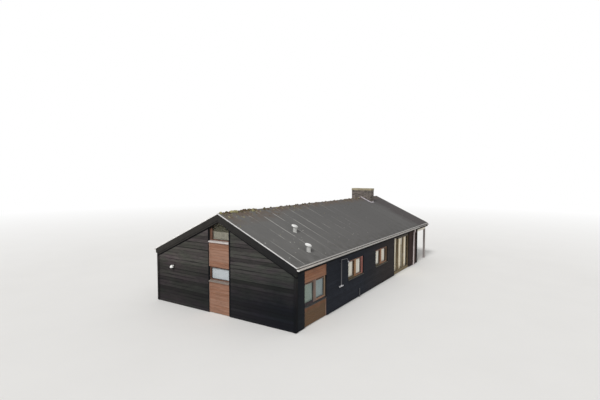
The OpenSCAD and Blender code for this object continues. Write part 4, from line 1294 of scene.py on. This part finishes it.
def roof_moss():
    """Moss along the ridge: heaped, dark green and yellow over the first metres, low and brown farther on."""
    rng = random.Random(41)
    shell = Shell()
    reach = stack_low.y - NEAR_VERGE
    y = NEAR_VERGE + MOSS_CLEAR
    while y < stack_low.y - MOSS_CLEAR:
        rich = y < NEAR_VERGE + RICH_SHARE * reach
        yellow = rng.random() < (RICH_YELLOW if rich else THIN_YELLOW)
        size = rng.uniform(*RIDGE_SIZES) if rich else THIN_SIZE * rng.uniform(*RIDGE_SIZES) ** 2
        tone = rng.uniform(*(YELLOW_TONES if yellow else GREEN_TONES))
        lump(shell, rng.gauss(0.0, RIDGE_SPREAD), y, RIDGE_CLUMP, size, tone, rng.uniform(*ANY_TURN))
        y += rng.uniform(*(RICH_GAPS if rich else THIN_GAPS))
    for i in range(SIDE_CLUMPS):
        y = NEAR_VERGE + SIDE_FIRST + SIDE_REACH * reach * rng.random() ** SIDE_CROWD
        x = rng.choice((-1, 1)) * min(SIDE_FARTHEST, rng.expovariate(SIDE_FALL))
        size = rng.uniform(*SIDE_SIZES)
        yellow = rng.random() < SIDE_YELLOW
        tone = rng.uniform(*(SIDE_YELLOW_TONES if yellow else SIDE_GREEN_TONES))
        lump(shell, x, y, SIDE_CLUMP, size, tone, rng.uniform(*ANY_TURN))
    for i in range(STRAY_CLUMPS):
        x = rng.uniform(-EAVE_X + STRAY_EAVE, EAVE_X - STRAY_EAVE)
        y = rng.uniform(NEAR_VERGE + STRAY_CLEAR, FAR_VERGE - STRAY_CLEAR)
        size = rng.uniform(*STRAY_SIZES)
        if abs(x) > stack_high.x + STRAY_CLEAR or y < stack_low.y - STRAY_CLEAR:
            lump(shell, x, y, STRAY_CLUMP, size, rng.random(), rng.uniform(*ANY_TURN))
    shell.make("roof_moss", MOSS, slot="felt", smooth=True)


# Chimney


def bricks_between(start, stop, shift):
    """Start and end of each brick of a course, the first one cut short by shift."""
    at = start - shift
    while at < stop - BRICK_SHORTEST:
        a, b = max(at, start), min(at + BRICK_LENGTH - BRICK_JOINT, stop)
        if b - a > BRICK_SHORTEST:
            yield a, b
        at += BRICK_LENGTH


def brick_courses():
    """Bricks in courses round the mortar core, left out where the roof passes."""
    rng = random.Random(51)
    shell = Shell()
    proud = Vector((BRICK_PROUD, BRICK_PROUD, 0))
    low, high = stack_low - proud, stack_high + proud
    top = high.z - BRICK_JOINT
    for i in range(int((top - BRICK_FOOT) / BRICK_ROW)):
        z0 = top - (i + 1) * BRICK_ROW + BRICK_JOINT / 2
        z1 = z0 + BRICK_ROW - BRICK_JOINT
        for axis, shift in ((0, BRICK_LENGTH / 2), (1, BRICK_LENGTH / 3)):
            whole = i % 2 == axis
            inset = 0.0 if whole else BRICK_DEEP + BRICK_JOINT
            ends = (low[axis] + inset, high[axis] - inset)
            for face in (low[1 - axis], high[1 - axis] - BRICK_DEEP):
                for a, b in bricks_between(*ends, 0.0 if whole else shift):
                    x0, y0 = (a, face) if axis == 0 else (face, a)
                    x1, y1 = (b, face + BRICK_DEEP) if axis == 0 else (face + BRICK_DEEP, b)
                    middle = (x0 + x1) / 2
                    under, over = under_roof(middle) - UNDER_DECK, RIDGE_Z - SLOPE * abs(middle) - UNDER_FELT
                    if not under < z1 < over:
                        shell.box((x0, y0, z0), (x1, y1, z1), rng.random())
    shell.make("chimney_bricks", BRICK, bevel=BRICK_EDGE, slot="masonry")


# Windows and doors


def hoop(shell, side, corners, inset, d0, d1):
    """A bead round an opening: corners as (u, z) anticlockwise, inset inward, from depth d0 to d1."""
    rings = []
    for i, corner in enumerate(corners):
        a, b, c = Vector(corners[i - 1]), Vector(corner), Vector(corners[(i + 1) % len(corners)])
        into, out = (b - a).normalized(), (c - b).normalized()
        n0, n1 = Vector((-into.y, into.x)), Vector((-out.y, out.x))
        inner = b + (n0 + n1) * (inset / (1 + n0.dot(n1)))
        rings.append([side.at(p.x, d, p.y) for p, d in ((b, d0), (inner, d0), (inner, d1), (b, d1))])
    shell.loft(rings, loop=True)


def pane_sides(node):
    """Each pane of a node with its wall, outline in the wall's plane and depths."""
    for points in solid_points(node):
        low, high = box_of(points)
        if high.y - low.y < PANE_DEEPEST:
            side = NEAR if low.y < 0 else FAR
        else:
            side = RIGHT if low.x > 0 else LEFT
        depths = [side.depth(p) for p in points]
        face = max(depths)
        flat = sorted({
            (round((p - side.start).dot(side.along), 4), round(p.z, 4))
            for p, d in zip(points, depths) if d > face - HAIR
        })
        middle = Vector([sum(c) / len(flat) for c in zip(*flat)])
        flat.sort(key=lambda c: math.atan2(c[1] - middle.y, c[0] - middle.x))
        yield side, flat, min(depths), face


def shrunk(corners, inset):
    """The corners of a level rectangle, moved inward."""
    middle = sum((Vector(c) for c in corners), Vector((0, 0))) / len(corners)
    return [
        (u + math.copysign(inset, middle.x - u), z + math.copysign(inset, middle.y - z)) for u, z in corners
    ]


def tall(corners):
    """Whether a pane is as high as those of the doors and the side light."""
    heights = [z for u, z in corners]
    return max(heights) - min(heights) > DOOR_TALL


def gaskets():
    """Dark rubber beads on both faces of every pane, and wooden beads before them in the windows."""
    wood = Shell()
    for body, node in (("house", "window_glass"), *[(leaf, f"{leaf}_glass") for leaf in DOORS]):
        shell = Shell()
        for side, corners, back, face in pane_sides(node):
            if side is not NEAR and not tall(corners):
                hoop(wood, side, corners, WOOD_BEAD, face, face + WOOD_BEAD_DEEP)
                corners = shrunk(corners, WOOD_BEAD)
            hoop(shell, side, corners, GASKET_WIDE, face, face + GASKET_DEEP)
            hoop(shell, side, corners, GASKET_WIDE, back - GASKET_DEEP, back)
        shell.make(f"{body}_gaskets", RUBBER, body, slot="glass")
    wood.make("window_beads", FRAME_WOOD, slot="stained_wood")


def reveal_strips():
    """Black strips where the frames of the side and far windows meet the boards: a dark sheet put there for
    the shadow in that gap.
    """
    shell = Shell()
    for name, side in (("right", RIGHT), ("left", LEFT), ("far", FAR)):
        for low, high in boxes(f"{name}_window_frames"):
            u0, u1 = side.span(low, high)
            face = max(side.depth(p) for p in (low, high)) - SASH_STEP
            depths = (face, face + REVEAL_DEEP)
            for u in (u0, u1 - REVEAL):
                shell.box_on(side, u, u + REVEAL, *depths, low.z + REVEAL_FOOT, high.z)
            shell.box_on(side, u0 + REVEAL, u1 - REVEAL, *depths, high.z - REVEAL, high.z)
    shell.make("reveal_strips", RUBBER, slot="black_boards")


def cloth_mesh(shell, front, back, rows, columns):
    """A closed thin sheet from two grids of points, row by row from the top."""
    w = columns + 1
    total = len(front)
    faces = []
    for r in range(rows):
        for c in range(columns):
            a, b = r * w + c, r * w + c + 1
            faces.append([a, b, b + w, a + w])
            faces.append([total + a, total + a + w, total + b + w, total + b])
    rim = list(range(w)) + [r * w + columns for r in range(1, rows + 1)]
    rim += [rows * w + c for c in range(columns - 1, -1, -1)] + [r * w for r in range(rows - 1, 0, -1)]
    for i, a in enumerate(rim):
        b = rim[(i + 1) % len(rim)]
        faces.append([a, b, total + b, total + a])
    shell.add(front + back, faces)


def hanging(name, material, side, span, heights, depth, hanger, folds=0, swing=0.0):
    """A blind or, with folds, a curtain between two places along a wall. The argument hanger is not used."""
    rng = random.Random(name)
    (u0, u1), (z0, z1) = span, heights
    columns = max(2, folds * FOLD_COLUMNS)
    rows = CURTAIN_ROWS if folds else 2
    phase = rng.uniform(*ANY_TURN)
    sizes = [rng.uniform(*FOLD_SIZES) for i in range(folds + 2)]
    front, back, middle = [], [], []
    for r in range(rows + 1):
        fall = r / rows
        z = z1 + (z0 - z1) * fall
        for c in range(columns + 1):
            share = c / columns
            turn = 2 * math.pi * folds * share + phase + FOLD_LEAN * math.sin(3 * fall)
            bend = swing * sizes[int(share * folds)] * math.sin(turn)
            u = u0 + (u1 - u0) * share
            front.append(side.at(u, depth + bend + CLOTH_THICK / 2, z))
            back.append(side.at(u, depth + bend - CLOTH_THICK / 2, z))
            if r == 0:
                middle.append(Vector((u, bend)))
    width = sum((b - a).length for a, b in zip(middle, middle[1:]))
    shell = Shell()
    cloth_mesh(shell, front, back, rows, columns)
    piece = shell.make(name, material, smooth=bool(folds))


def fixed_cloth(name, material, side, corners, depth):
    """A flat cloth held in a frame, cut to the corners' outline."""
    shell = Shell()
    shell.loft([[side.at(u, depth + d, z) for u, z in corners] for d in (-CLOTH_THICK / 2, CLOTH_THICK / 2)])
    piece = shell.make(name, material)
    us, zs = zip(*corners)
    width, height = max(us) - min(us), max(zs) - min(zs)
    pairs = zip(corners, corners[1:] + corners[:1])
    area = abs(sum(a[0] * b[1] - b[0] * a[1] for a, b in pairs)) / 2


def rail(name, side, u0, u1, z, depth, radius=WINDOW_RAIL):
    """Level rod that a blind or curtain hangs from."""
    shell = Shell()
    shell.rod([side.at(u, depth, z) for u in (u0, u1)], side.out, Z, radius)
    shell.make(name, STEEL, slot="steel")


def upper_window_cloths(side, corners, depth):
    """A sand-coloured cloth in the head of the upper gable window and a paler one below it."""
    foot = min(z for u, z in corners)
    left, right = min(u for u, z in corners) + CLOTH_IN, max(u for u, z in corners) - CLOTH_IN
    drop = CLOTH_IN / math.cos(PITCH)
    head = [(min(max(u, left), right), z - drop) for u, z in corners if z > foot + HAIR]
    upper = [(left, UPPER_SPLIT), (right, UPPER_SPLIT), *head]
    fixed_cloth("upper_window_cloth", SAND_BLIND, side, upper, depth)
    low, high = foot + CLOTH_IN, UPPER_SPLIT - 2 * HAIR
    lower = [(left, low), (right, low), (right, high), (left, high)]
    fixed_cloth("lower_window_cloth", PALE_BLIND, side, lower, depth)


def window_cloths():
    """Blinds and curtains behind the panes, as the photograph shows them, repeated on the far sides."""
    words = {NEAR: "near", FAR: "far", RIGHT: "right", LEFT: "left"}
    counts = dict.fromkeys(words, 0)
    for side, corners, back, face in pane_sides("window_glass"):
        us, zs = zip(*corners)
        depth = back - CLOTH_BACK
        if len(corners) == GABLE_CORNERS:
            upper_window_cloths(side, corners, depth)
            continue
        if tall(corners):
            continue
        counts[side] += 1
        name = f"{words[side]}_{counts[side]}"
        hanger = f"{name}_rail"
        top = max(zs) - RAIL_DROP
        rail(hanger, side, min(us), max(us), top, depth)
        span = (min(us) + CLOTH_IN, max(us) - CLOTH_IN)
        heights = (min(zs) + CLOTH_IN, top - WINDOW_RAIL)
        in_bay = side in (RIGHT, LEFT) and max(us) < NEAR_Y + BAY_REACH
        if side is NEAR or in_bay:
            material = SEA_BLIND if in_bay else COOL_BLIND
            hanging(f"{name}_blind", material, side, span, heights, depth, hanger)
        else:
            drawn = (span[0], span[1] - CURTAIN_GAP)
            hanging(f"{name}_curtain", BLIND, side, drawn, heights, depth, hanger, *WINDOW_FOLDS)


def door_curtains():
    """Linen curtains inside the side light and the two doors."""
    start, stop = RIGHT.span(door_low, door_high)
    hang_z = DOOR_HEAD - CURTAIN_DROP
    depth = CURTAIN_X - CORE_X
    hanger = "door_curtain_rail"
    rail(hanger, RIGHT, start + HAIR, stop - HAIR, hang_z, depth, DOOR_RAIL)
    heights = (room_high.z + CURTAIN_FOOT, hang_z - DOOR_RAIL)
    outlines = [
        corners for node in ("window_glass", *[f"{leaf}_glass" for leaf in DOORS])
        for side, corners, back, face in pane_sides(node) if tall(corners)
    ]
    for name, corners in zip(("side_light", *DOORS), outlines):
        us = [u for u, z in corners]
        span = (min(us) - CURTAIN_PAST, max(us) + CURTAIN_PAST)
        hanging(f"{name}_curtain", LINEN, RIGHT, span, heights, depth, hanger, *DOOR_FOLDS)


# Small fittings


def gutter_beads():
    """Rolled edge along each gutter's outer rim."""
    low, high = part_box("gutters")
    shell = Shell()
    for sign in (-1, 1):
        x = sign * (high.x - BRACKET - BEAD)
        ends = [Vector((x, y, high.z - BEAD / 2)) for y in (low.y + BEAD_END, high.y - BEAD_END)]
        shell.rod(ends, X, Z, BEAD, 10)
    shell.make("gutter_beads", RIM_METAL, slot="zinc")


def lamp_bulb():
    """Round bulb inside the wall lamp's shade."""
    low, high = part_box("wall_lamp")
    across = (high.x - low.x) / 2
    middle = Vector(((low.x + high.x) / 2, low.y + across, low.z + BULB_UP))
    shell = Shell()
    angles = [math.pi * k / 8 - math.pi / 2 for k in range(1, 8)]
    shell.loft([circle(middle + Z * (BULB * math.sin(a)), X, Y, BULB * math.cos(a), 16) for a in angles])
    heights = (BULB * HOLDER_SINK, high.z - low.z - BULB_UP - HOLDER_SHORT)
    shell.rod([middle + Z * z for z in heights], X, Y, BULB_HOLDER)
    shell.make("lamp_bulb", WHITE, slot="white_enamel")


make_camera()
make_lights()
make_floor()
wall_boards()
slot_edge_boards()
panel_boards()
roof_strips()
roof_moss()
brick_courses()
gaskets()
reveal_strips()
window_cloths()
door_curtains()
gutter_beads()
lamp_bulb()

bpy.context.scene.view_settings.view_transform = "Standard"
